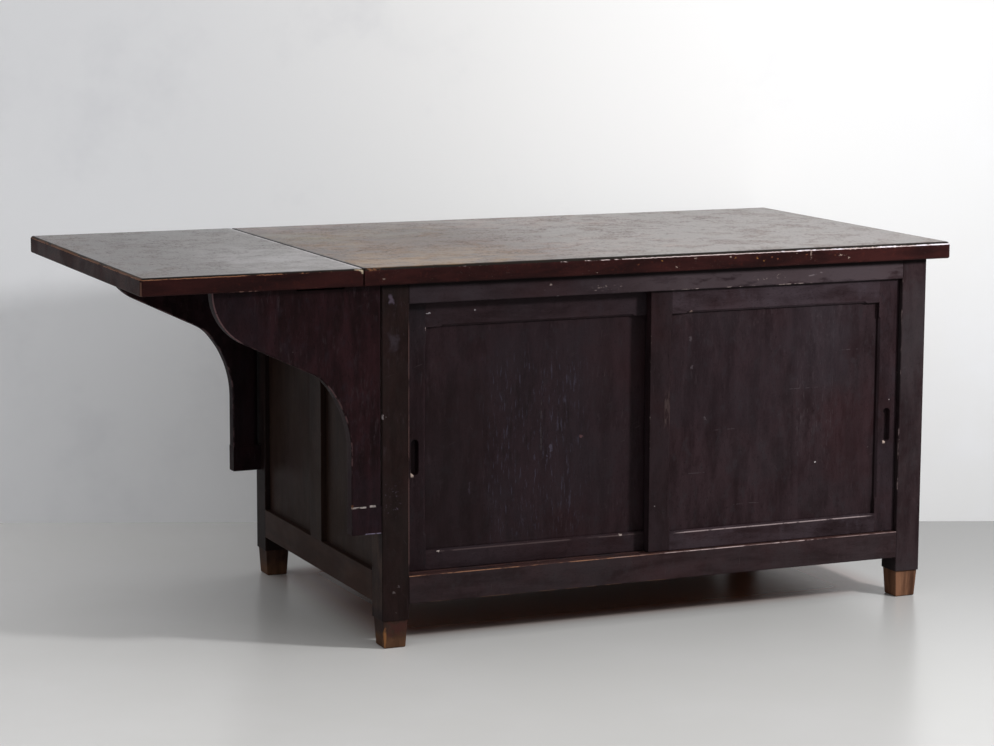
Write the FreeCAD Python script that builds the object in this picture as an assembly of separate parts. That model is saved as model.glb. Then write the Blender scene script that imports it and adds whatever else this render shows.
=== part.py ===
import FreeCAD, Part
import math
import os

# Work table: a low cabinet with sliding doors, a thick top, and a hinged leaf on two swinging brackets.
# Millimetres. X runs along the table from the leaf to the far end, Y from the front to the back, Z up.
# The origin is on the floor under the middle of the whole table.

# Overall driving sizes
TABLE_HEIGHT = 800.0
CABINET_LENGTH = 1290.0
CABINET_DEPTH = 800.0

# Top and leaf
TOP_THICKNESS = 36.5
SIDE_OVERHANG = 26.0
END_OVERHANG = 47.0
TOP_ARRIS_RADIUS = 9.0
TOP_CORNER_RADIUS = 11.0
LEAF_LENGTH = 465.0
LEAF_GAP = 3.0
LEAF_ARRIS_RADIUS = 6.0
LEAF_CORNER_RADIUS = 6.5
UNDER_ARRIS = 2.0
JOINT_ARRIS = 1.5

# Posts and feet
POST_SIDE = 60.0
POST_ARRIS = 1.5
FOOT_HEIGHT = 60.0
FOOT_SHOULDER = 3.0
FOOT_TAPER = 3.5
FOOT_ARRIS = 2.0
FOOT_DOWEL_RADIUS = 10.0
FOOT_DOWEL_LENGTH = 28.0

# Rails, muntins and panels of the carcase
RAIL_BOTTOM_Z = 92.5
FRONT_TOP_RAIL_HEIGHT = 44.0
FRONT_BOTTOM_RAIL_HEIGHT = 59.0
FRONT_RAIL_ARRIS = 2.5
FRAME_BOTTOM_RAIL_HEIGHT = 64.0
FRAME_TOP_RAIL_HEIGHT = 68.5
FRAME_THICKNESS = 28.0
MUNTIN_WIDTH = 68.0
PANEL_RECESS = 12.0
PANEL_THICKNESS = 8.0
PANEL_GROOVE_DEPTH = 8.0
PANEL_PLAY = 0.8
TENON_LENGTH = 25.0
TENON_SHOULDER = 8.0
MUNTIN_TENON_LENGTH = 20.0
FRONT_TENON_THICKNESS = 16.0

# Sliding doors
DOOR_THICKNESS = 22.0
DOOR_REVEAL = 12.0
DOOR_GAP = 2.0
DOOR_OVERLAP = 54.0
DOOR_END_GAP = 1.0
DOOR_CLEARANCE = 1.2
DOOR_STILE_WIDTH = 50.0
LEFT_DOOR_TOP_RAIL_HEIGHT = 54.0
RIGHT_DOOR_TOP_RAIL_HEIGHT = 50.5
DOOR_BOTTOM_RAIL_HEIGHT = 41.5
DOOR_PANEL_RECESS = 9.0
DOOR_PANEL_THICKNESS = 7.0
DOOR_TENON_LENGTH = 32.0
DOOR_CHAMFER = 4.5
DOOR_CHAMFER_STOP = 30.0
DOOR_CHAMFER_END_LENGTH = 7.0
TONGUE_THICKNESS = 8.0
TRACK_PLAY = 0.5
TRACK_DEPTH = 6.0
TRACK_SEAT = 0.3
UPPER_TRACK_DEPTH = 14.0
UPPER_TONGUE_HEIGHT = 9.0
PULL_LENGTH = 76.0
PULL_WIDTH = 18.0
PULL_DEPTH = 12.0
PULL_SLOPE_WIDTH = 3.0
PULL_HEIGHT = 393.0

# Cabinet floor and shelf
FLOOR_THICKNESS = 18.0
FLOOR_BOARD_COUNT = 3
FLOOR_TONGUE_LENGTH = 7.0
FLOOR_TONGUE_THICKNESS = 6.0
FLOOR_BEARER_WIDTH = 30.0
FLOOR_BEARER_HEIGHT = 26.0
FLOOR_BEARER_TENON = 10.0
SHELF_TOP_Z = 448.0
SHELF_THICKNESS = 20.0
SHELF_DEPTH = 500.0
CLEAT_WIDTH = 22.0
CLEAT_HEIGHT = 26.0

# Buttons that hold the top down
BUTTON_LENGTH = 45.0
BUTTON_WIDTH = 30.0
BUTTON_THICKNESS = 18.0
BUTTON_TONGUE_LENGTH = 10.0
BUTTON_TONGUE_THICKNESS = 8.0
FRONT_BUTTON_SHARES = (0.2, 0.5, 0.8)
END_BUTTON_SHARES = (0.5,)
SCREW_HEAD_RADIUS = 4.2
SCREW_HEAD_HEIGHT = 2.2
SCREW_SHANK_RADIUS = 2.2
SCREW_SLOT_WIDTH = 1.0
SCREW_SLOT_DEPTH = 0.9
SCREW_PLAY = 0.05
BUTTON_SCREW_LENGTH = 34.0

# Butt hinges under the leaf joint
HINGE_DISTANCE = 270.0
HINGE_LENGTH = 56.0
HINGE_PLATE_WIDTH = 34.0
HINGE_PLATE_THICKNESS = 2.5
HINGE_KNUCKLE_RADIUS = 4.5
HINGE_KNUCKLE_COUNT = 5
HINGE_KNUCKLE_PLAY = 0.3
HINGE_PIN_RADIUS = 2.2
HINGE_PIN_PLAY = 0.05
HINGE_RECESS_PLAY = 0.8
HINGE_SCREW_LENGTH = 18.0
HINGE_SCREW_EDGE = 9.0
HINGE_SCREW_DISTANCE = 19.0

# Swinging brackets, measured out from the post's end face and in from its front face
BRACKET_THICKNESS = 30.0
BRACKET_LENGTH = 360.0
BRACKET_FOOT_LENGTH = 65.5
BRACKET_POST_GAP = 3.0
BRACKET_SETBACK = 2.0
BRACKET_HEIGHT = 460.0
BRACKET_SEAT = 0.3
BRACKET_NOSE_RADIUS = 119.0
BRACKET_NOSE_DROP = 3.0
BRACKET_SLOPE_DEGREES = 25.5
BRACKET_COVE_RADIUS = 81.0
BRACKET_COVE_TURN_DEGREES = 48.7
BRACKET_TAIL_RADIUS = 223.0
BRACKET_ARRIS_RADIUS = 4.0
BRACKET_NOTCH_MARGIN = 22.0
BRACKET_NOTCH_PLAY = 2.0
BRACKET_PIN_RADIUS = 6.0
BRACKET_PIN_PLAY = 0.05
BRACKET_PIN_OUT = 20.0
BRACKET_PIN_IN = 28.0
BLOCK_HEIGHT = 57.5
BLOCK_TENON_LENGTH = 18.0
BLOCK_TENON_SHOULDER = 10.0

# One overrun for all cuts
OVERRUN = 1.0

# Derived places
TOTAL_LENGTH = LEAF_LENGTH + LEAF_GAP + 2 * END_OVERHANG + CABINET_LENGTH
TABLE_LEFT = -TOTAL_LENGTH / 2
TABLE_RIGHT = TOTAL_LENGTH / 2
TOP_LEFT = TABLE_LEFT + LEAF_LENGTH + LEAF_GAP
LEFT = TOP_LEFT + END_OVERHANG
RIGHT = LEFT + CABINET_LENGTH
FRONT = -CABINET_DEPTH / 2
BACK = CABINET_DEPTH / 2
TOP_FRONT = FRONT - SIDE_OVERHANG
TOP_BACK = BACK + SIDE_OVERHANG
UNDERSIDE = TABLE_HEIGHT - TOP_THICKNESS
OPENING_LEFT = LEFT + POST_SIDE
OPENING_RIGHT = RIGHT - POST_SIDE
OPENING_BOTTOM = RAIL_BOTTOM_Z + FRONT_BOTTOM_RAIL_HEIGHT
OPENING_TOP = UNDERSIDE - FRONT_TOP_RAIL_HEIGHT
RAIL_BACK_Y = FRONT + POST_SIDE
FRAME_PANEL_BOTTOM = RAIL_BOTTOM_Z + FRAME_BOTTOM_RAIL_HEIGHT
FRAME_PANEL_TOP = UNDERSIDE - FRAME_TOP_RAIL_HEIGHT
JOINT_X = TOP_LEFT - LEAF_GAP / 2
BRACKET_BOTTOM_Z = UNDERSIDE - BRACKET_HEIGHT
FLOOR_TOP = OPENING_BOTTOM
FLOOR_BOTTOM = FLOOR_TOP - FLOOR_THICKNESS
DOOR_WIDTH = (OPENING_RIGHT - OPENING_LEFT + DOOR_OVERLAP) / 2 - DOOR_END_GAP


def export(name, shape):
    """Writes one node's shape to its STEP file."""
    shape.exportStep("parts/" + name + ".step")


def block(x_span, y_span, z_span):
    """Returns a box from its low and high place along each axis."""
    low = FreeCAD.Vector(x_span[0], y_span[0], z_span[0])
    return Part.makeBox(x_span[1] - x_span[0], y_span[1] - y_span[0], z_span[1] - z_span[0], low)


def spread(middle, size):
    """Returns the low and high place of a size centred on a place."""
    return (middle - size / 2, middle + size / 2)


def upright(x, y, radius, z_span):
    """Returns an upright cylinder."""
    foot = FreeCAD.Vector(x, y, z_span[0])
    return Part.makeCylinder(radius, z_span[1] - z_span[0], foot)


def stopped_chamfer(start, along, into_a, into_b, length):
    """Returns the waste of a chamfer that dies out before both ends of an edge."""
    end = start + along * length
    inner_start = start + along * DOOR_CHAMFER_END_LENGTH
    inner_end = end - along * DOOR_CHAMFER_END_LENGTH
    a_start = inner_start + into_a * DOOR_CHAMFER
    a_end = inner_end + into_a * DOOR_CHAMFER
    b_start = inner_start + into_b * DOOR_CHAMFER
    b_end = inner_end + into_b * DOOR_CHAMFER
    outlines = [
        (start, a_start, a_end, end),
        (start, end, b_end, b_start),
        (a_start, b_start, b_end, a_end),
        (start, b_start, a_start),
        (end, a_end, b_end),
    ]
    faces = [Part.Face(Part.makePolygon(list(outline) + [outline[0]])) for outline in outlines]
    waste = Part.makeSolid(Part.makeShell(faces))
    if waste.Volume < 0:
        waste.reverse()
    return waste


# Carcase


def post(x_low, y_low):
    """Returns one post with its long arrises eased."""
    body = block((x_low, x_low + POST_SIDE), (y_low, y_low + POST_SIDE), (FOOT_HEIGHT, UNDERSIDE))
    long_edges = [edge for edge in body.Edges if abs(edge.Length - (UNDERSIDE - FOOT_HEIGHT)) < POST_ARRIS]
    return body.makeChamfer(POST_ARRIS, long_edges)


def square_wire(x, y, side, z):
    """Returns a level square outline centred on a place."""
    half = side / 2
    corners = [
        FreeCAD.Vector(x - half, y - half, z),
        FreeCAD.Vector(x + half, y - half, z),
        FreeCAD.Vector(x + half, y + half, z),
        FreeCAD.Vector(x - half, y + half, z),
    ]
    return Part.makePolygon(corners + [corners[0]])


def foot(x_low, y_low):
    """Returns a tapered foot block with a dowel that goes up into its post."""
    x = x_low + POST_SIDE / 2
    y = y_low + POST_SIDE / 2
    top_side = POST_SIDE - 2 * FOOT_SHOULDER
    floor_side = top_side - 2 * FOOT_TAPER
    sole_side = floor_side - 2 * FOOT_ARRIS
    taper = Part.makeLoft(
        [square_wire(x, y, floor_side, FOOT_ARRIS), square_wire(x, y, top_side, FOOT_HEIGHT)], True, True
    )
    sole = Part.makeLoft([square_wire(x, y, sole_side, 0), square_wire(x, y, floor_side, FOOT_ARRIS)], True, True)
    dowel = upright(x, y, FOOT_DOWEL_RADIUS, (FOOT_HEIGHT, FOOT_HEIGHT + FOOT_DOWEL_LENGTH))
    return taper.fuse(sole).fuse(dowel).removeSplitter()


def side_block(side, u_span, w_span, z_span):
    """Returns a box of an end or the back: u runs along that side, w goes in from its outer face."""
    if side == "left":
        x_span = (LEFT + w_span[0], LEFT + w_span[1])
        y_span = (FRONT + u_span[0], FRONT + u_span[1])
    elif side == "right":
        x_span = (RIGHT - w_span[1], RIGHT - w_span[0])
        y_span = (FRONT + u_span[0], FRONT + u_span[1])
    else:
        x_span = (LEFT + u_span[0], LEFT + u_span[1])
        y_span = (BACK - w_span[1], BACK - w_span[0])
    return block(x_span, y_span, z_span)


def panel_frame(side, width):
    """Returns the rails, muntin and two panels of one framed side, and the waste of its panel grooves."""
    inner = (POST_SIDE, width - POST_SIDE)
    middle = spread(width / 2, MUNTIN_WIDTH)
    thick = (0, FRAME_THICKNESS)
    seat = (PANEL_RECESS, PANEL_RECESS + PANEL_THICKNESS)
    tenons = (inner[0] - TENON_LENGTH, inner[1] + TENON_LENGTH)
    bays = {"front": (inner[0], middle[0]), "rear": (middle[1], inner[1])}

    def rail(z_span):
        """Returns a rail with a tenon at each end."""
        tenon_z = (z_span[0] + TENON_SHOULDER, z_span[1] - TENON_SHOULDER)
        return side_block(side, inner, thick, z_span).fuse(side_block(side, tenons, seat, tenon_z)).removeSplitter()

    top_rail = rail((FRAME_PANEL_TOP, UNDERSIDE))
    bottom_rail = rail((RAIL_BOTTOM_Z, FRAME_PANEL_BOTTOM))
    tenon_u = (middle[0] + TENON_SHOULDER, middle[1] - TENON_SHOULDER)
    tenon_z = (FRAME_PANEL_BOTTOM - MUNTIN_TENON_LENGTH, FRAME_PANEL_TOP + MUNTIN_TENON_LENGTH)
    muntin = side_block(side, middle, thick, (FRAME_PANEL_BOTTOM, FRAME_PANEL_TOP))
    muntin = muntin.fuse(side_block(side, tenon_u, seat, tenon_z)).removeSplitter()
    reach = PANEL_GROOVE_DEPTH - PANEL_PLAY
    grooves = []
    panels = {}
    for bay, span in bays.items():
        groove_u = (span[0] - PANEL_GROOVE_DEPTH, span[1] + PANEL_GROOVE_DEPTH)
        groove_z = (FRAME_PANEL_BOTTOM - PANEL_GROOVE_DEPTH, FRAME_PANEL_TOP + PANEL_GROOVE_DEPTH)
        panel_z = (FRAME_PANEL_BOTTOM - reach, FRAME_PANEL_TOP + reach)
        grooves.append(side_block(side, groove_u, seat, groove_z))
        panels[bay] = side_block(side, (span[0] - reach, span[1] + reach), seat, panel_z)
    waste = grooves[0].fuse(grooves[1])
    top_rail = top_rail.cut(waste).cut(muntin)
    bottom_rail = bottom_rail.cut(waste).cut(muntin)
    muntin = muntin.cut(waste)
    return top_rail, bottom_rail, muntin, panels, waste


def front_rail(z_span, eased_z):
    """Returns a front rail as deep as the posts, its front arris next to the doors eased, a tenon at each end."""
    body = block((OPENING_LEFT, OPENING_RIGHT), (FRONT, RAIL_BACK_Y), z_span)
    arris = [edge for edge in body.Edges if edge.CenterOfMass.y < FRONT + SCREW_PLAY
             and abs(edge.CenterOfMass.z - eased_z) < SCREW_PLAY]
    body = body.makeFillet(FRONT_RAIL_ARRIS, arris)
    tenon = block(
        (OPENING_LEFT - TENON_LENGTH, OPENING_RIGHT + TENON_LENGTH),
        spread(FRONT + POST_SIDE / 2, FRONT_TENON_THICKNESS),
        (z_span[0] + TENON_SHOULDER, z_span[1] - TENON_SHOULDER),
    )
    return body.fuse(tenon).removeSplitter()


def door_front_y(track):
    """Returns the place of a door's front face: track 0 is the front one, track 1 the rear one."""
    return FRONT + DOOR_REVEAL + track * (DOOR_THICKNESS + DOOR_GAP)


def track_groove(track, z_span):
    """Returns the waste of a groove that a door's tongue runs in."""
    middle = door_front_y(track) + DOOR_THICKNESS / 2
    return block((OPENING_LEFT, OPENING_RIGHT), spread(middle, TONGUE_THICKNESS + 2 * TRACK_PLAY), z_span)


def floor_pieces():
    """Returns the floor boards, which lie along the cabinet, and the bearers under them."""
    x_span = (LEFT + FRAME_THICKNESS, RIGHT - FRAME_THICKNESS)
    y_low = RAIL_BACK_Y
    step = (BACK - FRAME_THICKNESS - y_low) / FLOOR_BOARD_COUNT
    middle_z = (FLOOR_TOP + FLOOR_BOTTOM) / 2
    tongue_z = spread(middle_z, FLOOR_TONGUE_THICKNESS)
    boards = []
    for index in range(FLOOR_BOARD_COUNT):
        edge = y_low + index * step
        board = block(x_span, (edge, edge + step), (FLOOR_BOTTOM, FLOOR_TOP))
        if index > 0:
            board = board.cut(block(x_span, (edge, edge + FLOOR_TONGUE_LENGTH + PANEL_PLAY), tongue_z))
        if index < FLOOR_BOARD_COUNT - 1:
            board = board.fuse(block(x_span, (edge + step, edge + step + FLOOR_TONGUE_LENGTH), tongue_z))
        boards.append(board.removeSplitter())
    bearer_z = (FLOOR_BOTTOM - FLOOR_BEARER_HEIGHT, FLOOR_BOTTOM)
    side_y = (RAIL_BACK_Y, BACK - POST_SIDE)
    left = block((LEFT + FRAME_THICKNESS, LEFT + FRAME_THICKNESS + FLOOR_BEARER_WIDTH), side_y, bearer_z)
    right = block((RIGHT - FRAME_THICKNESS - FLOOR_BEARER_WIDTH, RIGHT - FRAME_THICKNESS), side_y, bearer_z)
    centre_x = (LEFT + RIGHT) / 2
    centre = block(spread(centre_x, FLOOR_BEARER_WIDTH), (RAIL_BACK_Y, BACK - FRAME_THICKNESS), bearer_z)
    stub_y = (RAIL_BACK_Y - FLOOR_BEARER_TENON, BACK - FRAME_THICKNESS + FLOOR_BEARER_TENON)
    stub_z = (bearer_z[0] + FLOOR_TONGUE_THICKNESS, bearer_z[1] - FLOOR_TONGUE_THICKNESS)
    centre = centre.fuse(block(spread(centre_x, FLOOR_BEARER_WIDTH / 2), stub_y, stub_z)).removeSplitter()
    return boards, {"left": left, "centre": centre, "right": right}


def shelf_pieces():
    """Returns the shelf and the three cleats that carry it."""
    back_y = BACK - FRAME_THICKNESS
    shelf_z = (SHELF_TOP_Z - SHELF_THICKNESS, SHELF_TOP_Z)
    cleat_z = (shelf_z[0] - CLEAT_HEIGHT, shelf_z[0])
    inner = (LEFT + FRAME_THICKNESS, RIGHT - FRAME_THICKNESS)
    shelf = block(inner, (back_y - SHELF_DEPTH, back_y), shelf_z)
    side_y = (back_y - SHELF_DEPTH, BACK - POST_SIDE)
    left = block((inner[0], inner[0] + CLEAT_WIDTH), side_y, cleat_z)
    right = block((inner[1] - CLEAT_WIDTH, inner[1]), side_y, cleat_z)
    back = block((OPENING_LEFT, OPENING_RIGHT), (back_y - CLEAT_WIDTH, back_y), cleat_z)
    return shelf, {"left": left, "right": right, "back": back}


# Screws


def screw(length):
    """Returns a slotted countersunk screw, head down at the origin and shank up along Z."""
    head = Part.makeCone(SCREW_HEAD_RADIUS, SCREW_SHANK_RADIUS, SCREW_HEAD_HEIGHT)
    shank = Part.makeCylinder(SCREW_SHANK_RADIUS, length - SCREW_SHANK_RADIUS)
    tip = Part.makeCone(SCREW_SHANK_RADIUS, 0, SCREW_SHANK_RADIUS, FreeCAD.Vector(0, 0, length - SCREW_SHANK_RADIUS))
    slot = block(
        (-SCREW_HEAD_RADIUS - OVERRUN, SCREW_HEAD_RADIUS + OVERRUN),
        spread(0, SCREW_SLOT_WIDTH),
        (-OVERRUN, SCREW_SLOT_DEPTH),
    )
    return head.fuse([shank, tip]).removeSplitter().cut(slot)


def screw_hole(length):
    """Returns the waste of a screw's hole, a little wider than the screw all round."""
    cone = Part.makeCone(SCREW_HEAD_RADIUS + SCREW_PLAY, SCREW_SHANK_RADIUS + SCREW_PLAY, SCREW_HEAD_HEIGHT)
    shank = Part.makeCylinder(SCREW_SHANK_RADIUS + SCREW_PLAY, length + SCREW_PLAY)
    return cone.fuse(shank).removeSplitter()


def placed(shape, x, y, z):
    """Returns a copy of a shape moved to a place."""
    copy = shape.copy()
    copy.translate(FreeCAD.Vector(x, y, z))
    return copy


# Top, buttons and leaf


def board(x_span, joint_side, arris_radius, corner_radius):
    """Returns a board of the top: rounded upper arris and corners, except along its joint with the other board."""
    z_span = (UNDERSIDE, TABLE_HEIGHT)
    body = block(x_span, (TOP_FRONT, TOP_BACK), z_span)
    outer_x = x_span[0] if joint_side == "right" else x_span[1]
    joint_x = x_span[1] if joint_side == "right" else x_span[0]

    def lies_on(edge, axis, place):
        """Tells whether an edge keeps one place along an axis."""
        return all(abs(getattr(vertex.Point, axis) - place) < SCREW_PLAY for vertex in edge.Vertexes)

    corners = [edge for edge in body.Edges if lies_on(edge, "x", outer_x) and not lies_on(edge, "z", z_span[0])
               and not lies_on(edge, "z", z_span[1])]
    body = body.makeFillet(corner_radius, corners)
    upper = [edge for edge in body.Edges if lies_on(edge, "z", z_span[1]) and not lies_on(edge, "x", joint_x)]
    body = body.makeFillet(arris_radius, upper)
    lower = [edge for edge in body.Edges if lies_on(edge, "z", z_span[0]) and not lies_on(edge, "x", joint_x)]
    body = body.makeChamfer(UNDER_ARRIS, lower)
    inward = -1 if joint_side == "right" else 1
    tips = [
        FreeCAD.Vector(joint_x - inward * JOINT_ARRIS, TOP_FRONT - OVERRUN, z_span[1] + JOINT_ARRIS),
        FreeCAD.Vector(joint_x - inward * JOINT_ARRIS, TOP_FRONT - OVERRUN, z_span[1] - 2 * JOINT_ARRIS),
        FreeCAD.Vector(joint_x + inward * 2 * JOINT_ARRIS, TOP_FRONT - OVERRUN, z_span[1] + JOINT_ARRIS),
    ]
    wedge = Part.Face(Part.makePolygon(tips + [tips[0]])).extrude(
        FreeCAD.Vector(0, TOP_BACK - TOP_FRONT + 2 * OVERRUN, 0)
    )
    return body.cut(wedge)


def button_places():
    """Returns where each turn button's rail face is, and which way its tongue points."""
    places = []
    for share in FRONT_BUTTON_SHARES:
        x = OPENING_LEFT + share * (OPENING_RIGHT - OPENING_LEFT)
        places.append((x, RAIL_BACK_Y, "front"))
        places.append((x, BACK - FRAME_THICKNESS, "back"))
    for share in END_BUTTON_SHARES:
        y = FRONT + share * CABINET_DEPTH
        places.append((LEFT + FRAME_THICKNESS, y, "left"))
        places.append((RIGHT - FRAME_THICKNESS, y, "right"))
    return places


def buttons():
    """Returns the turn buttons, their screws, their tongues' slots and their screw holes."""
    turn = {"front": 0, "right": 90, "back": 180, "left": 270}
    body = block(spread(0, BUTTON_WIDTH), (0, BUTTON_LENGTH), (UNDERSIDE - BUTTON_THICKNESS, UNDERSIDE))
    tongue_z = (UNDERSIDE - BUTTON_THICKNESS, UNDERSIDE - BUTTON_THICKNESS + BUTTON_TONGUE_THICKNESS)
    tongue = block(spread(0, BUTTON_WIDTH), (-BUTTON_TONGUE_LENGTH, 0), tongue_z)
    slot_x = spread(0, BUTTON_WIDTH + 2 * PANEL_PLAY)
    slot = block(slot_x, (-BUTTON_TONGUE_LENGTH - PANEL_PLAY, 0), tongue_z)
    drop = UNDERSIDE - BUTTON_THICKNESS
    hole = placed(screw_hole(BUTTON_SCREW_LENGTH), 0, BUTTON_LENGTH / 2, drop)
    pin = placed(screw(BUTTON_SCREW_LENGTH), 0, BUTTON_LENGTH / 2, drop)
    model = body.fuse(tongue).removeSplitter().cut(hole)
    sets = {"bodies": [], "screws": [], "slots": [], "holes": []}
    for x, y, way in button_places():
        for key, shape in (("bodies", model), ("screws", pin), ("slots", slot), ("holes", hole)):
            copy = shape.copy()
            copy.rotate(FreeCAD.Vector(0, 0, 0), FreeCAD.Vector(0, 0, 1), turn[way])
            copy.translate(FreeCAD.Vector(x, y, 0))
            sets[key].append(copy)
    return sets


# Hinges


def hinge_rows():
    """Returns the places of the three hinges along the joint."""
    return [-HINGE_DISTANCE, 0, HINGE_DISTANCE]


def along_y(x, z, radius, y_span):
    """Returns a cylinder that lies along Y."""
    start = FreeCAD.Vector(x, y_span[0], z)
    return Part.makeCylinder(radius, y_span[1] - y_span[0], start, FreeCAD.Vector(0, 1, 0))


def hinge(y, toward):
    """Returns one plate with its knuckles, its screws, and the waste that seats them in the wood.

    toward is 1 for the fixed plate on the main top and -1 for the moving plate on the leaf.
    """
    y_span = spread(y, HINGE_LENGTH)
    x_edge = JOINT_X + toward * HINGE_PLATE_WIDTH
    x_span = (min(JOINT_X, x_edge), max(JOINT_X, x_edge))
    plate_z = (UNDERSIDE, UNDERSIDE + HINGE_PLATE_THICKNESS)
    step = HINGE_LENGTH / HINGE_KNUCKLE_COUNT
    first = 0 if toward > 0 else 1
    plate = block(x_span, y_span, plate_z)
    for index in range(HINGE_KNUCKLE_COUNT):
        low = y_span[0] + index * step
        knuckle_y = (low + HINGE_KNUCKLE_PLAY / 2, low + step - HINGE_KNUCKLE_PLAY / 2)
        if index % 2 == first:
            plate = plate.fuse(along_y(JOINT_X, UNDERSIDE, HINGE_KNUCKLE_RADIUS, knuckle_y))
        else:
            room = HINGE_KNUCKLE_RADIUS + HINGE_KNUCKLE_PLAY
            plate = plate.cut(along_y(JOINT_X, UNDERSIDE, room, (low, low + step)))
    bore = HINGE_PIN_RADIUS + HINGE_PIN_PLAY
    plate = plate.cut(along_y(JOINT_X, UNDERSIDE, bore, y_span))
    waste = block(x_span, y_span, plate_z)
    room_y = (y_span[0] - HINGE_RECESS_PLAY, y_span[1] + HINGE_RECESS_PLAY)
    waste = waste.fuse(along_y(JOINT_X, UNDERSIDE, HINGE_KNUCKLE_RADIUS + HINGE_RECESS_PLAY, room_y))
    screws = []
    for row in (-1, 0, 1):
        x = x_edge - toward * HINGE_SCREW_EDGE * (1 if row else 2)
        place = (x, y + row * HINGE_SCREW_DISTANCE, UNDERSIDE)
        screws.append(placed(screw(HINGE_SCREW_LENGTH), *place))
        hole = placed(screw_hole(HINGE_SCREW_LENGTH), *place)
        plate = plate.cut(hole)
        waste = waste.fuse(hole)
    return plate, screws, waste


# Doors


def pull_recess(x, y_face):
    """Returns the waste of a finger recess, an upright oblong with sloping walls."""
    wires = []
    for depth in (0, PULL_DEPTH):
        shrink = PULL_SLOPE_WIDTH * depth / PULL_DEPTH
        radius = PULL_WIDTH / 2 - shrink
        half = PULL_LENGTH / 2 - PULL_WIDTH / 2
        y = y_face + depth
        low_left = FreeCAD.Vector(x - radius, y, PULL_HEIGHT - half)
        high_left = FreeCAD.Vector(x - radius, y, PULL_HEIGHT + half)
        high_right = FreeCAD.Vector(x + radius, y, PULL_HEIGHT + half)
        low_right = FreeCAD.Vector(x + radius, y, PULL_HEIGHT - half)
        crown = FreeCAD.Vector(x, y, PULL_HEIGHT + half + radius)
        base = FreeCAD.Vector(x, y, PULL_HEIGHT - half - radius)
        edges = [
            Part.LineSegment(low_left, high_left).toShape(),
            Part.Arc(high_left, crown, high_right).toShape(),
            Part.LineSegment(high_right, low_right).toShape(),
            Part.Arc(low_right, base, low_left).toShape(),
        ]
        wires.append(Part.Wire(edges))
    return Part.makeLoft(wires, True, True)


def door(track, x_low, pull_side, top_rail_height):
    """Returns the five pieces of one sliding door in its closed place."""
    x_high = x_low + DOOR_WIDTH
    y_face = door_front_y(track)
    y_span = (y_face, y_face + DOOR_THICKNESS)
    seat = (y_face + DOOR_PANEL_RECESS, y_face + DOOR_PANEL_RECESS + DOOR_PANEL_THICKNESS)
    z_span = (OPENING_BOTTOM + DOOR_CLEARANCE, OPENING_TOP - DOOR_CLEARANCE)
    inner_x = (x_low + DOOR_STILE_WIDTH, x_high - DOOR_STILE_WIDTH)
    inner_z = (z_span[0] + DOOR_BOTTOM_RAIL_HEIGHT, z_span[1] - top_rail_height)
    tongue_y = spread(y_face + DOOR_THICKNESS / 2, TONGUE_THICKNESS)
    lower_z = (OPENING_BOTTOM - TRACK_DEPTH + TRACK_SEAT, z_span[0])
    upper_z = (z_span[1], OPENING_TOP + UPPER_TONGUE_HEIGHT)

    def stile(span):
        """Returns a stile with the ends of both tongues."""
        body = block(span, y_span, z_span)
        return body.fuse([block(span, tongue_y, lower_z), block(span, tongue_y, upper_z)]).removeSplitter()

    def rail(rail_z, tongue_z):
        """Returns a rail with its tongue and a tenon at each end."""
        body = block(inner_x, y_span, rail_z)
        tenon_x = (inner_x[0] - DOOR_TENON_LENGTH, inner_x[1] + DOOR_TENON_LENGTH)
        tenon_z = (rail_z[0] + TENON_SHOULDER, rail_z[1] - TENON_SHOULDER)
        tenon = block(tenon_x, seat, tenon_z)
        return body.fuse([block(inner_x, tongue_y, tongue_z), tenon]).removeSplitter()

    groove = block(
        (inner_x[0] - PANEL_GROOVE_DEPTH, inner_x[1] + PANEL_GROOVE_DEPTH),
        seat,
        (inner_z[0] - PANEL_GROOVE_DEPTH, inner_z[1] + PANEL_GROOVE_DEPTH),
    )
    reach = PANEL_GROOVE_DEPTH - PANEL_PLAY
    panel = block((inner_x[0] - reach, inner_x[1] + reach), seat, (inner_z[0] - reach, inner_z[1] + reach))
    top_rail = rail((inner_z[1], z_span[1]), upper_z).cut(groove)
    bottom_rail = rail((z_span[0], inner_z[0]), lower_z).cut(groove)
    left_stile = stile((x_low, inner_x[0])).cut(groove).cut(top_rail).cut(bottom_rail)
    right_stile = stile((inner_x[1], x_high)).cut(groove).cut(top_rail).cut(bottom_rail)

    across = FreeCAD.Vector(1, 0, 0)
    inward = FreeCAD.Vector(0, 1, 0)
    up = FreeCAD.Vector(0, 0, 1)
    rail_run = inner_x[1] - inner_x[0] - 2 * DOOR_CHAMFER_STOP
    stile_run = inner_z[1] - inner_z[0] - 2 * DOOR_CHAMFER_STOP
    rail_x = inner_x[0] + DOOR_CHAMFER_STOP
    stile_z = inner_z[0] + DOOR_CHAMFER_STOP
    top_rail = top_rail.cut(
        stopped_chamfer(FreeCAD.Vector(rail_x, y_face, inner_z[1]), across, up, inward, rail_run)
    )
    bottom_rail = bottom_rail.cut(
        stopped_chamfer(FreeCAD.Vector(rail_x, y_face, inner_z[0]), across, up * -1, inward, rail_run)
    )
    left_stile = left_stile.cut(
        stopped_chamfer(FreeCAD.Vector(inner_x[0], y_face, stile_z), up, across * -1, inward, stile_run)
    )
    right_stile = right_stile.cut(
        stopped_chamfer(FreeCAD.Vector(inner_x[1], y_face, stile_z), up, across, inward, stile_run)
    )
    if pull_side == "left":
        left_stile = left_stile.cut(pull_recess(x_low + DOOR_STILE_WIDTH / 2, y_face))
        outer, inner = left_stile, right_stile
    else:
        right_stile = right_stile.cut(pull_recess(x_high - DOOR_STILE_WIDTH / 2, y_face))
        outer, inner = right_stile, left_stile
    return {
        "outer_stile": outer,
        "inner_stile": inner,
        "top_rail": top_rail,
        "bottom_rail": bottom_rail,
        "panel": panel,
    }


# Brackets


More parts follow.
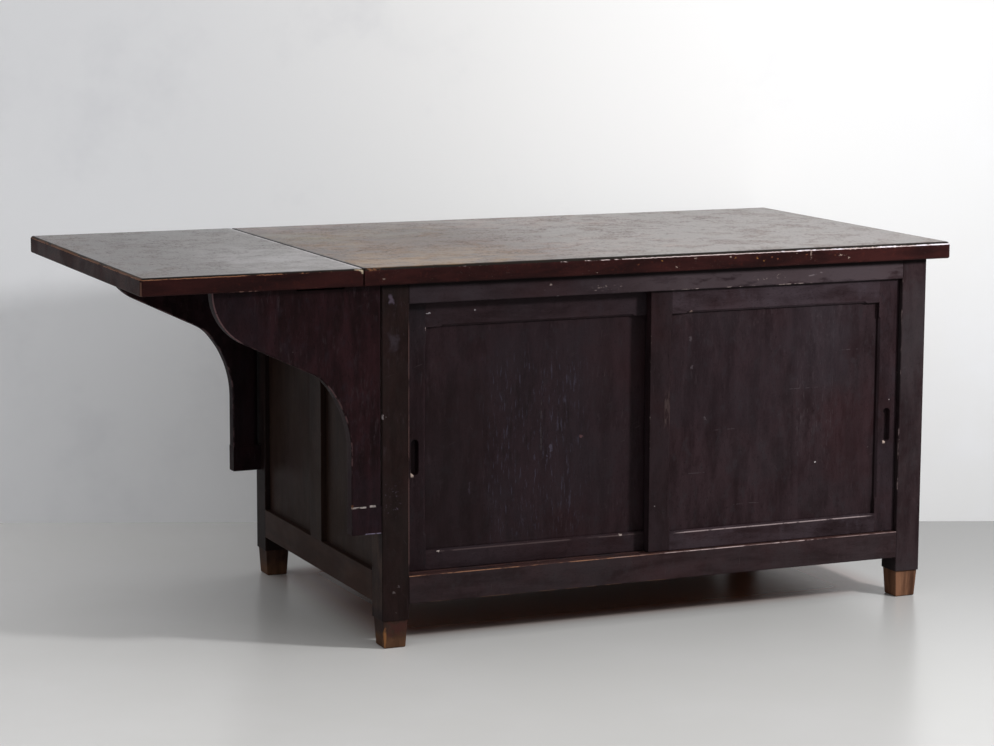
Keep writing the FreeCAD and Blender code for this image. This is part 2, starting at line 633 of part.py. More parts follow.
def arc_point(centre, radius, degrees):
    """Returns a point of an upright arc, its angle counted up from the far end's side."""
    angle = math.radians(degrees)
    return centre + FreeCAD.Vector(radius * math.cos(angle), 0, radius * math.sin(angle))


def bracket_outline(y):
    """Returns the bracket's side outline: a nose arc, a straight slope, and a cove that opens into the foot."""
    pivot_x = LEFT - BRACKET_POST_GAP - BRACKET_THICKNESS / 2
    foot_x = LEFT - BRACKET_FOOT_LENGTH
    nose_x = LEFT - BRACKET_LENGTH
    top_z = UNDERSIDE - BRACKET_SEAT
    bottom_z = BRACKET_BOTTOM_Z + BRACKET_SEAT
    slope = BRACKET_SLOPE_DEGREES
    turn = BRACKET_COVE_TURN_DEGREES
    fall = math.tan(math.radians(slope))

    nose_centre = FreeCAD.Vector(nose_x + BRACKET_NOSE_RADIUS, y, UNDERSIDE - BRACKET_NOSE_DROP)
    nose = [arc_point(nose_centre, BRACKET_NOSE_RADIUS, degrees) for degrees in (180, 225 - slope / 2, 270 - slope)]

    # The tail arc ends upright on the foot, and the cove arc meets it at the turn
    tail_centre = FreeCAD.Vector(foot_x - BRACKET_TAIL_RADIUS, y, 0)
    cove_centre = arc_point(tail_centre, BRACKET_TAIL_RADIUS - BRACKET_COVE_RADIUS, 90 - turn)
    cove_start = arc_point(cove_centre, BRACKET_COVE_RADIUS, 90 - slope)
    lift = nose[2].z - (cove_start.x - nose[2].x) * fall - cove_start.z
    tail_centre.z += lift
    cove_centre.z += lift
    cove_angles = (90 - slope, 90 - (slope + turn) / 2, 90 - turn)
    tail_angles = (90 - turn, (90 - turn) / 2, 0)
    cove = [arc_point(cove_centre, BRACKET_COVE_RADIUS, degrees) for degrees in cove_angles]
    tail = [arc_point(tail_centre, BRACKET_TAIL_RADIUS, degrees) for degrees in tail_angles]

    top_inner = FreeCAD.Vector(pivot_x, y, top_z)
    top_outer = FreeCAD.Vector(nose_x, y, top_z)
    foot_outer = FreeCAD.Vector(foot_x, y, bottom_z)
    foot_inner = FreeCAD.Vector(pivot_x, y, bottom_z)
    edges = [
        Part.LineSegment(top_inner, top_outer).toShape(),
        Part.LineSegment(top_outer, nose[0]).toShape(),
        Part.Arc(*nose).toShape(),
        Part.LineSegment(nose[2], cove[0]).toShape(),
        Part.Arc(*cove).toShape(),
        Part.Arc(*tail).toShape(),
        Part.LineSegment(tail[2], foot_outer).toShape(),
        Part.LineSegment(foot_outer, foot_inner).toShape(),
        Part.LineSegment(foot_inner, top_inner).toShape(),
    ]
    return Part.Wire(edges)


def bracket(y_middle, hinge_distance):
    """Returns a swinging bracket, its pins, its fixed block, and the waste of its pin holes and block tenon."""
    pivot_x = LEFT - BRACKET_POST_GAP - BRACKET_THICKNESS / 2
    outward = 1 if y_middle > 0 else -1
    y_low = y_middle - BRACKET_THICKNESS / 2
    top_z = UNDERSIDE - BRACKET_SEAT
    bottom_z = BRACKET_BOTTOM_Z + BRACKET_SEAT
    plate = Part.Face(bracket_outline(y_low)).extrude(FreeCAD.Vector(0, BRACKET_THICKNESS, 0))
    shaped_right = LEFT - BRACKET_FOOT_LENGTH
    shaped = []
    for edge in plate.Edges:
        places = [vertex.Point for vertex in edge.Vertexes]
        level = max(point.y for point in places) - min(point.y for point in places) < SCREW_PLAY
        outside = all(point.x < shaped_right + SCREW_PLAY for point in places)
        rises = max(point.z for point in places) < top_z - SCREW_PLAY or edge.Length < BRACKET_NOSE_DROP + SCREW_PLAY
        if level and outside and rises:
            shaped.append(edge)
    plate = plate.makeFillet(BRACKET_ARRIS_RADIUS, shaped)

    # The inner corner next to the post is round, to turn past it, and the outer one is square
    round_end = upright(pivot_x, y_middle, BRACKET_THICKNESS / 2, (bottom_z, top_z))
    outer_y = sorted((y_middle, y_middle + outward * BRACKET_THICKNESS / 2))
    square_end = block((pivot_x, pivot_x + BRACKET_THICKNESS / 2), outer_y, (bottom_z, top_z))
    plate = plate.fuse([round_end, square_end]).removeSplitter()
    notch_x = (
        pivot_x - hinge_distance - HINGE_LENGTH / 2 - BRACKET_NOTCH_MARGIN,
        pivot_x - hinge_distance + HINGE_LENGTH / 2 + BRACKET_NOTCH_MARGIN,
    )
    notch_depth = HINGE_KNUCKLE_RADIUS + BRACKET_NOTCH_PLAY
    floor_z = UNDERSIDE - notch_depth
    corners = [
        FreeCAD.Vector(notch_x[0] - notch_depth, y_low - OVERRUN, top_z + OVERRUN),
        FreeCAD.Vector(notch_x[0], y_low - OVERRUN, floor_z),
        FreeCAD.Vector(notch_x[1], y_low - OVERRUN, floor_z),
        FreeCAD.Vector(notch_x[1] + notch_depth, y_low - OVERRUN, top_z + OVERRUN),
    ]
    notch = Part.Face(Part.makePolygon(corners + [corners[0]])).extrude(
        FreeCAD.Vector(0, BRACKET_THICKNESS + 2 * OVERRUN, 0)
    )
    plate = plate.cut(notch)
    upper_pin = upright(pivot_x, y_middle, BRACKET_PIN_RADIUS, (top_z - BRACKET_PIN_IN, top_z + BRACKET_PIN_OUT))
    lower_pin = upright(
        pivot_x, y_middle, BRACKET_PIN_RADIUS, (bottom_z - BRACKET_PIN_OUT, bottom_z + BRACKET_PIN_IN)
    )
    bore = BRACKET_PIN_RADIUS + BRACKET_PIN_PLAY
    upper_hole = upright(pivot_x, y_middle, bore, (top_z - BRACKET_PIN_IN, top_z + BRACKET_PIN_OUT + OVERRUN))
    lower_hole = upright(
        pivot_x, y_middle, bore, (bottom_z - BRACKET_PIN_OUT - OVERRUN, bottom_z + BRACKET_PIN_IN)
    )
    plate = plate.cut(upper_hole).cut(lower_hole)
    block_z = (BRACKET_BOTTOM_Z - BLOCK_HEIGHT, BRACKET_BOTTOM_Z)
    fixed = block(
        (LEFT - BRACKET_FOOT_LENGTH, LEFT), (y_low, y_low + BRACKET_THICKNESS), block_z
    )
    tenon = block(
        (LEFT, LEFT + BLOCK_TENON_LENGTH),
        (y_low + BLOCK_TENON_SHOULDER, y_low + BRACKET_THICKNESS - BLOCK_TENON_SHOULDER),
        (block_z[0] + BLOCK_TENON_SHOULDER, block_z[1] - BLOCK_TENON_SHOULDER),
    )
    fixed = fixed.fuse(tenon).removeSplitter().cut(lower_hole)
    return {
        "bracket": plate,
        "pins": [upper_pin, lower_pin],
        "block": fixed,
        "top_hole": upper_hole,
        "tenon": tenon,
    }


def main():
    """Builds every piece and writes it."""
    os.makedirs("parts", exist_ok=True)

    corners = {
        "front_left": (LEFT, FRONT),
        "front_right": (RIGHT - POST_SIDE, FRONT),
        "rear_left": (LEFT, BACK - POST_SIDE),
        "rear_right": (RIGHT - POST_SIDE, BACK - POST_SIDE),
    }
    posts = {name: post(*place) for name, place in corners.items()}
    feet = {name: foot(*place) for name, place in corners.items()}

    top_rail = front_rail((OPENING_TOP, UNDERSIDE), OPENING_TOP)
    bottom_rail = front_rail((RAIL_BOTTOM_Z, OPENING_BOTTOM), OPENING_BOTTOM)
    for track in (0, 1):
        top_rail = top_rail.cut(track_groove(track, (OPENING_TOP, OPENING_TOP + UPPER_TRACK_DEPTH)))
        bottom_rail = bottom_rail.cut(track_groove(track, (OPENING_BOTTOM - TRACK_DEPTH, OPENING_BOTTOM)))

    sides = {}
    for side, width in (("left", CABINET_DEPTH), ("right", CABINET_DEPTH), ("back", CABINET_LENGTH)):
        sides[side] = panel_frame(side, width)

    boards, bearers = floor_pieces()
    shelf, cleats = shelf_pieces()
    button_sets = buttons()

    main_top = board((TOP_LEFT, TABLE_RIGHT), "left", TOP_ARRIS_RADIUS, TOP_CORNER_RADIUS)
    leaf = board((TABLE_LEFT, TABLE_LEFT + LEAF_LENGTH), "right", LEAF_ARRIS_RADIUS, LEAF_CORNER_RADIUS)

    bracket_y = BACK - BRACKET_SETBACK - BRACKET_THICKNESS / 2
    hinge_distance = bracket_y - HINGE_DISTANCE
    brackets = {"front": bracket(-bracket_y, hinge_distance), "rear": bracket(bracket_y, hinge_distance)}

    # Joints of the posts
    for name, shape in posts.items():
        side = "left" if name.endswith("left") else "right"
        top, bottom, _, _, groove = sides[side]
        shape = shape.cut(groove).cut(top).cut(bottom).cut(feet[name])
        if name.startswith("front"):
            shape = shape.cut(top_rail).cut(bottom_rail)
        else:
            top, bottom, _, _, groove = sides["back"]
            shape = shape.cut(groove).cut(top).cut(bottom)
        if side == "left":
            shape = shape.cut(brackets[name.split("_")[0]]["tenon"])
        posts[name] = shape

    for name, shape in posts.items():
        export("post_" + name, shape)
        export("foot_" + name, feet[name])

    slots = Part.makeCompound(button_sets["slots"])
    export("front_top_rail", top_rail.cut(slots))
    export("front_bottom_rail", bottom_rail.cut(bearers["centre"]))
    for side in ("left", "right", "back"):
        top, bottom, muntin, panels, _ = sides[side]
        prefix = side if side == "back" else side + "_end"
        bottom = bottom.cut(bearers["centre"]) if side == "back" else bottom
        export(prefix + "_top_rail", top.cut(slots))
        export(prefix + "_bottom_rail", bottom)
        export(prefix + "_muntin", muntin)
        names = ("left", "right") if side == "back" else ("front", "rear")
        export(prefix + "_" + names[0] + "_panel", panels["front"])
        export(prefix + "_" + names[1] + "_panel", panels["rear"])

    post_boxes = [
        block((x, x + POST_SIDE), (y, y + POST_SIDE), (FOOT_HEIGHT, UNDERSIDE)) for x, y in corners.values()
    ]
    post_waste = Part.makeCompound(post_boxes)
    for name, shape in zip(("front", "middle", "rear"), boards):
        export("floor_board_" + name, shape.cut(post_waste))
    for name, shape in bearers.items():
        export("floor_bearer_" + name, shape)
    export("shelf", shelf.cut(post_waste))
    for name, shape in cleats.items():
        export("shelf_cleat_" + name, shape)

    left_door = door(1, OPENING_LEFT + DOOR_END_GAP, "left", LEFT_DOOR_TOP_RAIL_HEIGHT)
    right_door = door(0, OPENING_RIGHT - DOOR_END_GAP - DOOR_WIDTH, "right", RIGHT_DOOR_TOP_RAIL_HEIGHT)
    for side, pieces in (("left", left_door), ("right", right_door)):
        for name, shape in pieces.items():
            export(side + "_door_" + name, shape)

    plates = {1: [], -1: []}
    screws = {1: [], -1: []}
    pins = []
    for y in hinge_rows():
        for toward in (1, -1):
            plate, plate_screws, waste = hinge(y, toward)
            plates[toward].append(plate)
            screws[toward].extend(plate_screws)
            if toward > 0:
                main_top = main_top.cut(waste)
            else:
                leaf = leaf.cut(waste)
        pins.append(along_y(JOINT_X, UNDERSIDE, HINGE_PIN_RADIUS, spread(y, HINGE_LENGTH)))
    export("hinge_fixed_plates", Part.makeCompound(plates[1]))
    export("hinge_moving_plates", Part.makeCompound(plates[-1]))
    export("hinge_pins", Part.makeCompound(pins))
    export("hinge_fixed_screws", Part.makeCompound(screws[1]))
    export("hinge_moving_screws", Part.makeCompound(screws[-1]))

    for name, pieces in brackets.items():
        main_top = main_top.cut(pieces["top_hole"])
        export("bracket_" + name, pieces["bracket"])
        export("bracket_pins_" + name, Part.makeCompound(pieces["pins"]))
        export("bracket_block_" + name, pieces["block"])
    for hole in button_sets["holes"]:
        main_top = main_top.cut(hole)
    export("main_top", main_top)
    export("leaf", leaf)
    export("top_buttons", Part.makeCompound(button_sets["bodies"]))
    export("top_button_screws", Part.makeCompound(button_sets["screws"]))


main()
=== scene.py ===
"""Looks of an old work table: cabinet with two sliding doors, thick top, hinged leaf on swinging brackets."""

import logging
import math
from dataclasses import dataclass
from enum import Enum

import bpy
from mathutils import Matrix, Vector

logging.basicConfig(level=logging.INFO, format="%(message)s")
log = logging.getLogger("work_table")

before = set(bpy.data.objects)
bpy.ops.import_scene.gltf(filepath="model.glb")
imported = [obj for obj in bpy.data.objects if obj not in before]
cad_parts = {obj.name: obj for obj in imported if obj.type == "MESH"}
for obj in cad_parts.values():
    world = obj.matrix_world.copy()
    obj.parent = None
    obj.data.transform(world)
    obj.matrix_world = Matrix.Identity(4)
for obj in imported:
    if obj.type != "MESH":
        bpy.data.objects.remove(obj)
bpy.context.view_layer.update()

Colour = tuple[float, float, float, float]
Pair = tuple[float, float]
Triple = tuple[float, float, float]
Node = bpy.types.Node
Socket = bpy.types.NodeSocket
Source = float | Triple | Colour | Socket

ORIGIN: Triple = (0.0, 0.0, 0.0)
FACE_HEIGHT = 0.8  # height of the level faces of the top and the leaf
FACE_REACH = 0.0004  # how far above and below it their wear reaches
FACE_FADE = 0.0006  # how far that wear fades out in height


def srgb(red: int, green: int, blue: int) -> Colour:
    """Turns a screen colour into the linear colour that a shader takes.

    Args:
        red: Red from 0 to 255.
        green: Green from 0 to 255.
        blue: Blue from 0 to 255.

    Returns:
        The linear colour with full alpha.
    """
    def linear(channel: int) -> float:
        """Returns one linear channel."""
        share = channel / 255
        return share / 12.92 if share <= 0.04045 else ((share + 0.055) / 1.055) ** 2.4

    return (linear(red), linear(green), linear(blue), 1.0)


class Grain(Enum):
    """Which way the wood fibres of a piece run."""

    ALONG_X = (0.2, 1.0, 1.0)
    ALONG_Y = (1.0, 0.2, 1.0)
    ALONG_Z = (1.0, 1.0, 0.2)


class Facing(Enum):
    """The axis that a scratched face looks along."""

    X = (1.0, 0.0, 0.0)
    Y = (0.0, 1.0, 0.0)
    Z = (0.0, 0.0, 1.0)


class Wiring:
    """Lays and links the nodes of one shader tree."""

    def __init__(self, tree: bpy.types.NodeTree) -> None:
        """Starts on the tree that the nodes go into."""
        self.tree = tree

    def feed(self, socket: Socket, source: Source) -> None:
        """Links a socket to another, or sets its own value.

        Args:
            socket: The input to feed.
            source: A socket, a number, a triple or a colour.
        """
        if isinstance(source, Socket):
            self.tree.links.new(source, socket)
        else:
            socket.default_value = source

    def add(self, kind: str, settings: dict[str, object] | None = None,
            feeds: dict[str | int, Source] | None = None) -> Node:
        """Adds a node.

        Args:
            kind: The node's type, without the leading ShaderNode.
            settings: Its own options by name.
            feeds: What goes into its inputs, by name or index.

        Returns:
            The new node.
        """
        node = self.tree.nodes.new("ShaderNode" + kind)
        for name, value in (settings or {}).items():
            setattr(node, name, value)
        for key, source in (feeds or {}).items():
            self.feed(node.inputs[key], source)
        return node

    def group(self, tree: bpy.types.NodeTree, feeds: dict[str, Source]) -> Node:
        """Places a shared effect, with what goes into its named inputs, and returns its node."""
        return self.add("Group", {"node_tree": tree}, feeds)

    def mask(self, tree: bpy.types.NodeTree, feeds: dict[str, Source]) -> Socket:
        """Places a shared effect that gives one mask, and returns the mask."""
        return self.group(tree, feeds).outputs["Mask"]

    def math(self, operation: str, first: Source, second: Source = 0.0, clamp: bool = False) -> Socket:
        """Works on one or two numbers, and keeps the result between 0 and 1 if asked."""
        return self.add("Math", {"operation": operation, "use_clamp": clamp}, {0: first, 1: second}).outputs[0]

    def plus(self, first: Source, second: Source) -> Socket:
        """Returns the sum of two numbers."""
        return self.math("ADD", first, second)

    def minus(self, first: Source, second: Source, clamp: bool = False) -> Socket:
        """Returns a number less another, kept between 0 and 1 if asked."""
        return self.math("SUBTRACT", first, second, clamp)

    def times(self, first: Source, second: Source) -> Socket:
        """Returns the product of two numbers."""
        return self.math("MULTIPLY", first, second)

    def vector(self, operation: str, first: Source, second: Source = ORIGIN) -> Socket:
        """Works on one or two vectors and returns a vector."""
        return self.add("VectorMath", {"operation": operation}, {0: first, 1: second}).outputs["Vector"]

    def parts(self, place: Source) -> list[Socket]:
        """Returns the three parts of a place."""
        return list(self.add("SeparateXYZ", None, {0: place}).outputs)

    def shifted(self, place: Source, seed: Source) -> Socket:
        """Returns a place moved by a seed, so that two patterns differ."""
        return self.vector("ADD", place, seed)

    def drawn(self, place: Source, stretch: Source, seed: Source) -> Socket:
        """Returns a place for a pattern, drawn out along the axes that have a small stretch."""
        return self.shifted(self.vector("MULTIPLY", place, stretch), seed)

    def mix(self, factor: Source, first: Source, second: Source, blend: str = "MIX") -> Socket:
        """Mixes two colours: a factor of 0 gives the first, 1 the second."""
        settings = {"data_type": "RGBA", "blend_type": blend, "clamp_factor": True}
        return self.add("Mix", settings, {0: factor, 6: first, 7: second}).outputs[2]

    def blend(self, factor: Source, first: Source, second: Source) -> Socket:
        """Returns a number between two numbers."""
        return self.add("Mix", {"data_type": "FLOAT", "clamp_factor": True},
                        {0: factor, 2: first, 3: second}).outputs[0]

    def ramp(self, value: Source, low: Source, high: Source, start: Source = 0.0, end: Source = 1.0) -> Socket:
        """Eases from start to end while the value goes from low to high, and stays level beyond."""
        feeds = {"Value": value, "From Min": low, "From Max": high, "To Min": start, "To Max": end}
        return self.add("MapRange", {"interpolation_type": "SMOOTHSTEP"}, feeds).outputs[0]

    def noise(self, place: Source, scale: Source, detail: float = 2.0, rough: float = 0.5, warp: float = 0.0) -> Socket:
        """Makes clouds from 0 to 1: how many to the metre, with how many finer layers, how strong, how twisted."""
        feeds = {"Vector": place, "Scale": scale, "Detail": detail, "Roughness": rough, "Distortion": warp}
        return self.add("TexNoise", None, feeds).outputs["Fac"]


class Effects:
    """The effects that several finishes share, each one node group with named inputs and outputs."""

    def __init__(self) -> None:
        """Builds every group once."""
        self.fibre = self._fibre()
        self.patches = self._patches()
        self.arris = self._arris()
        self.scratches = self._scratches()
        self.chips = self._chips()
        self.window = self._window()

    @staticmethod
    def _start(name: str, inputs: dict[str, float | Triple],
               outputs: dict[str, str]) -> tuple[Wiring, dict[str, Socket], dict[str, Socket]]:
        """Makes an empty group that takes a place and more.

        Args:
            name: The group's name.
            inputs: First value of each further input, a number or a triple.
            outputs: Kind of each output.

        Returns:
            The wiring, the sockets that give the inputs and the sockets that take the outputs.
        """
        tree = bpy.data.node_groups.new(name, "ShaderNodeTree")
        for key, value in {"Place": ORIGIN, **inputs}.items():
            kind = "NodeSocketVector" if isinstance(value, tuple) else "NodeSocketFloat"
            tree.interface.new_socket(key, in_out="INPUT", socket_type=kind).default_value = value
        for key, kind in outputs.items():
            tree.interface.new_socket(key, in_out="OUTPUT", socket_type="NodeSocket" + kind)
        take, give = tree.nodes.new("NodeGroupInput"), tree.nodes.new("NodeGroupOutput")
        return Wiring(tree), dict(take.outputs.items()), dict(give.inputs.items())

    def _fibre(self) -> bpy.types.NodeTree:
        """Makes wood figure: broad mottling, short flecks and short dark pores along a stretched place.

        Returns:
            The effect's node group.
        """
        w, take, give = self._start("wood_fibre", {"Stretch": (1.0, 1.0, 0.05), "Seed": ORIGIN},
                                    {"Streak": "Float", "Fibre": "Float", "Pores": "Float"})
        place = w.drawn(take["Place"], take["Stretch"], take["Seed"])
        w.feed(give["Streak"], w.ramp(w.noise(place, 30.0, 5.0, 0.6, 0.5), 0.3, 0.7))
        w.feed(give["Fibre"], w.ramp(w.noise(place, 340.0, 3.0, 0.55), 0.54, 0.72))
        w.feed(give["Pores"], w.ramp(w.noise(place, 800.0, 1.0, 0.5), 0.6, 0.74))
        return w.tree

    def _patches(self) -> bpy.types.NodeTree:
        """Makes uneven cloudy areas, as where polish has dulled or hands have rubbed.

        Returns:
            The effect's node group.
        """
        w, take, give = self._start("dull_patches", {"Seed": ORIGIN, "Scale": 6.0, "From": 0.45, "To": 0.65},
                                    {"Mask": "Float"})
        cloud = w.noise(w.shifted(take["Place"], take["Seed"]), take["Scale"], 4.0, 0.6, 0.4)
        w.feed(give["Mask"], w.ramp(cloud, take["From"], take["To"]))
        return w.tree

    def _arris(self) -> bpy.types.NodeTree:
        """Makes wear on outer arrises: a broken line of lost finish, a soft rubbed band and a rounded normal.

        Returns:
            The effect's node group.
        """
        w, take, give = self._start("arris_wear", {"Seed": ORIGIN, "Width": 0.0024, "Amount": 0.5, "Break Scale": 60.0},
                                    {"Worn": "Float", "Rubbed": "Float", "Normal": "Vector"})
        flat = w.add("NewGeometry").outputs["Normal"]
        wide = w.add("Bevel", {"samples": 4}, {"Radius": take["Width"]}).outputs["Normal"]
        turn = w.add("VectorMath", {"operation": "DOT_PRODUCT"}, {0: wide, 1: flat}).outputs["Value"]
        bend = w.minus(1.0, turn)
        cloud = w.noise(w.shifted(take["Place"], take["Seed"]), take["Break Scale"], 5.0, 0.68)
        start = w.minus(0.75, w.times(take["Amount"], 0.5))
        broken = w.ramp(cloud, start, w.plus(start, 0.08))
        w.feed(give["Worn"], w.times(w.ramp(bend, 0.02, 0.1), broken))
        w.feed(give["Rubbed"], w.ramp(bend, 0.0, 0.2))
        w.feed(give["Normal"], wide)
        return w.tree

    def _scratches(self) -> bpy.types.NodeTree:
        """Makes thin straight scratches that lie at one angle on a face, gathered in places.

        Returns:
            The effect's node group.
        """
        w, take, give = self._start("thin_scratches", {"Seed": ORIGIN, "Facing": (0.0, 1.0, 0.0), "Angle": 0.0},
                                    {"Mask": "Float"})
        turned = w.add("VectorRotate", {"rotation_type": "AXIS_ANGLE"},
                       {"Vector": take["Place"], "Axis": take["Facing"], "Angle": take["Angle"]}).outputs["Vector"]
        line = w.noise(w.drawn(turned, (22.0, 620.0, 620.0), take["Seed"]), 1.0, 1.0, 0.4, 0.1)
        gathered = w.noise(w.shifted(take["Place"], take["Seed"]), 7.0, 3.0, 0.6)
        w.feed(give["Mask"], w.times(w.ramp(line, 0.74, 0.8), w.ramp(gathered, 0.5, 0.68)))
        return w.tree

    def _chips(self) -> bpy.types.NodeTree:
        """Makes small scattered knocks of uneven size.

        Returns:
            The effect's node group.
        """
        w, take, give = self._start("small_chips", {"Seed": ORIGIN, "Scale": 45.0, "Size": 0.08, "Share": 0.2},
                                    {"Mask": "Float"})
        place = w.shifted(take["Place"], take["Seed"])
        wobble = w.add("TexNoise", None, {"Vector": place, "Scale": 260.0, "Detail": 2.0}).outputs["Color"]
        ragged = w.vector("ADD", place, w.vector("MULTIPLY", wobble, (0.006, 0.006, 0.006)))
        cell = w.add("TexVoronoi", {"feature": "F1"}, {"Vector": ragged, "Scale": take["Scale"], "Randomness": 1.0})
        draws = w.add("SeparateColor", None, {0: cell.outputs["Color"]}).outputs
        radius = w.times(take["Size"], w.plus(draws[1], 0.3))
        dot = w.ramp(cell.outputs["Distance"], radius, w.times(radius, 0.6))
        w.feed(give["Mask"], w.times(dot, w.math("LESS_THAN", draws[0], take["Share"])))
        return w.tree

    def _window(self) -> bpy.types.NodeTree:
        """Makes a soft-edged box of the piece with rounded corners and ragged sides, for wear in one place.

        Returns:
            The effect's node group.
        """
        w, take, give = self._start("place_window", {"Middle": ORIGIN, "Half": (1.0, 1.0, 1.0),
                                                     "Soft": (0.01, 0.01, 0.01), "Drift": ORIGIN,
                                                     "Drift Scale": 16.0}, {"Mask": "Float"})
        cloud = w.add("TexNoise", None, {"Vector": take["Place"], "Scale": take["Drift Scale"],
                                         "Detail": 4.0}).outputs["Color"]
        drift = w.vector("MULTIPLY", w.vector("SUBTRACT", cloud, (0.5, 0.5, 0.5)), take["Drift"])
        place = w.vector("ADD", take["Place"], drift)
        away = w.vector("ABSOLUTE", w.vector("SUBTRACT", place, take["Middle"]))
        over = w.vector("DIVIDE", w.vector("SUBTRACT", away, take["Half"]), take["Soft"])
        reach = w.add("VectorMath", {"operation": "LENGTH"}, {0: w.vector("MAXIMUM", over)}).outputs["Value"]
        w.feed(give["Mask"], w.ramp(reach, 1.0, 0.0))
        return w.tree


@dataclass(frozen=True)
class WornPlace:
    """Finish lost or changed in one box of a piece, in metres of the table's own frame.

    Attributes:
        low: Lowest corner.
        high: Highest corner.
        colour: What shows there.
        strength: How fully it shows.
        broken: Share of the place that stays covered, from 0 for an unbroken place to 1.
        scale: Size of the breaks, larger is finer.
        soft: How far its sides fade out.
        stretch: How the breaks are drawn out along each axis.
        drift: How far its sides wander along each axis.
        drift_scale: How often they do, larger is finer.
        fade: How softly the breaks start, larger is softer.
    """

    low: Triple
    high: Triple
    colour: Colour
    strength: float = 1.0
    broken: float = 0.5
    scale: float = 60.0
    soft: Triple = (0.01, 0.002, 0.002)
    stretch: Triple = (1.0, 1.0, 1.0)
    drift: Triple = (0.0, 0.0, 0.0)
    drift_scale: float = 16.0
    fade: float = 0.1


@dataclass(frozen=True)
class Front:
    """A face of the table that looks to the front, to put wear on.

    Attributes:
        near: Where its wear starts along Y, just before the face.
        far: Where it ends, just behind the face.
    """

    near: float
    far: float

    @classmethod
    def at(cls, face: float, depth: float) -> "Front":
        """Returns the face at a place along Y, with wear down to a depth."""
        return cls(face - 0.001, face + depth)

    def worn(self, x: Pair, z: Pair, colour: Colour, *values: object, **options: object) -> WornPlace:
        """Makes a worn place from its reach along X and Z, its colour and further values of a worn place."""
        return WornPlace((x[0], self.near, z[0]), (x[1], self.far, z[1]), colour, *values, **options)

    def mark(self, x: Pair, z: Pair, colour: Colour, strength: float = 0.6) -> WornPlace:
        """Makes a small ragged chip or scratch from its reach along X and Z and its colour."""
        return self.worn(x, z, colour, strength, 0.0, soft=(0.0014, 0.0015, 0.0012), drift=(0.012, 0.0, 0.009),
                         drift_scale=210.0)


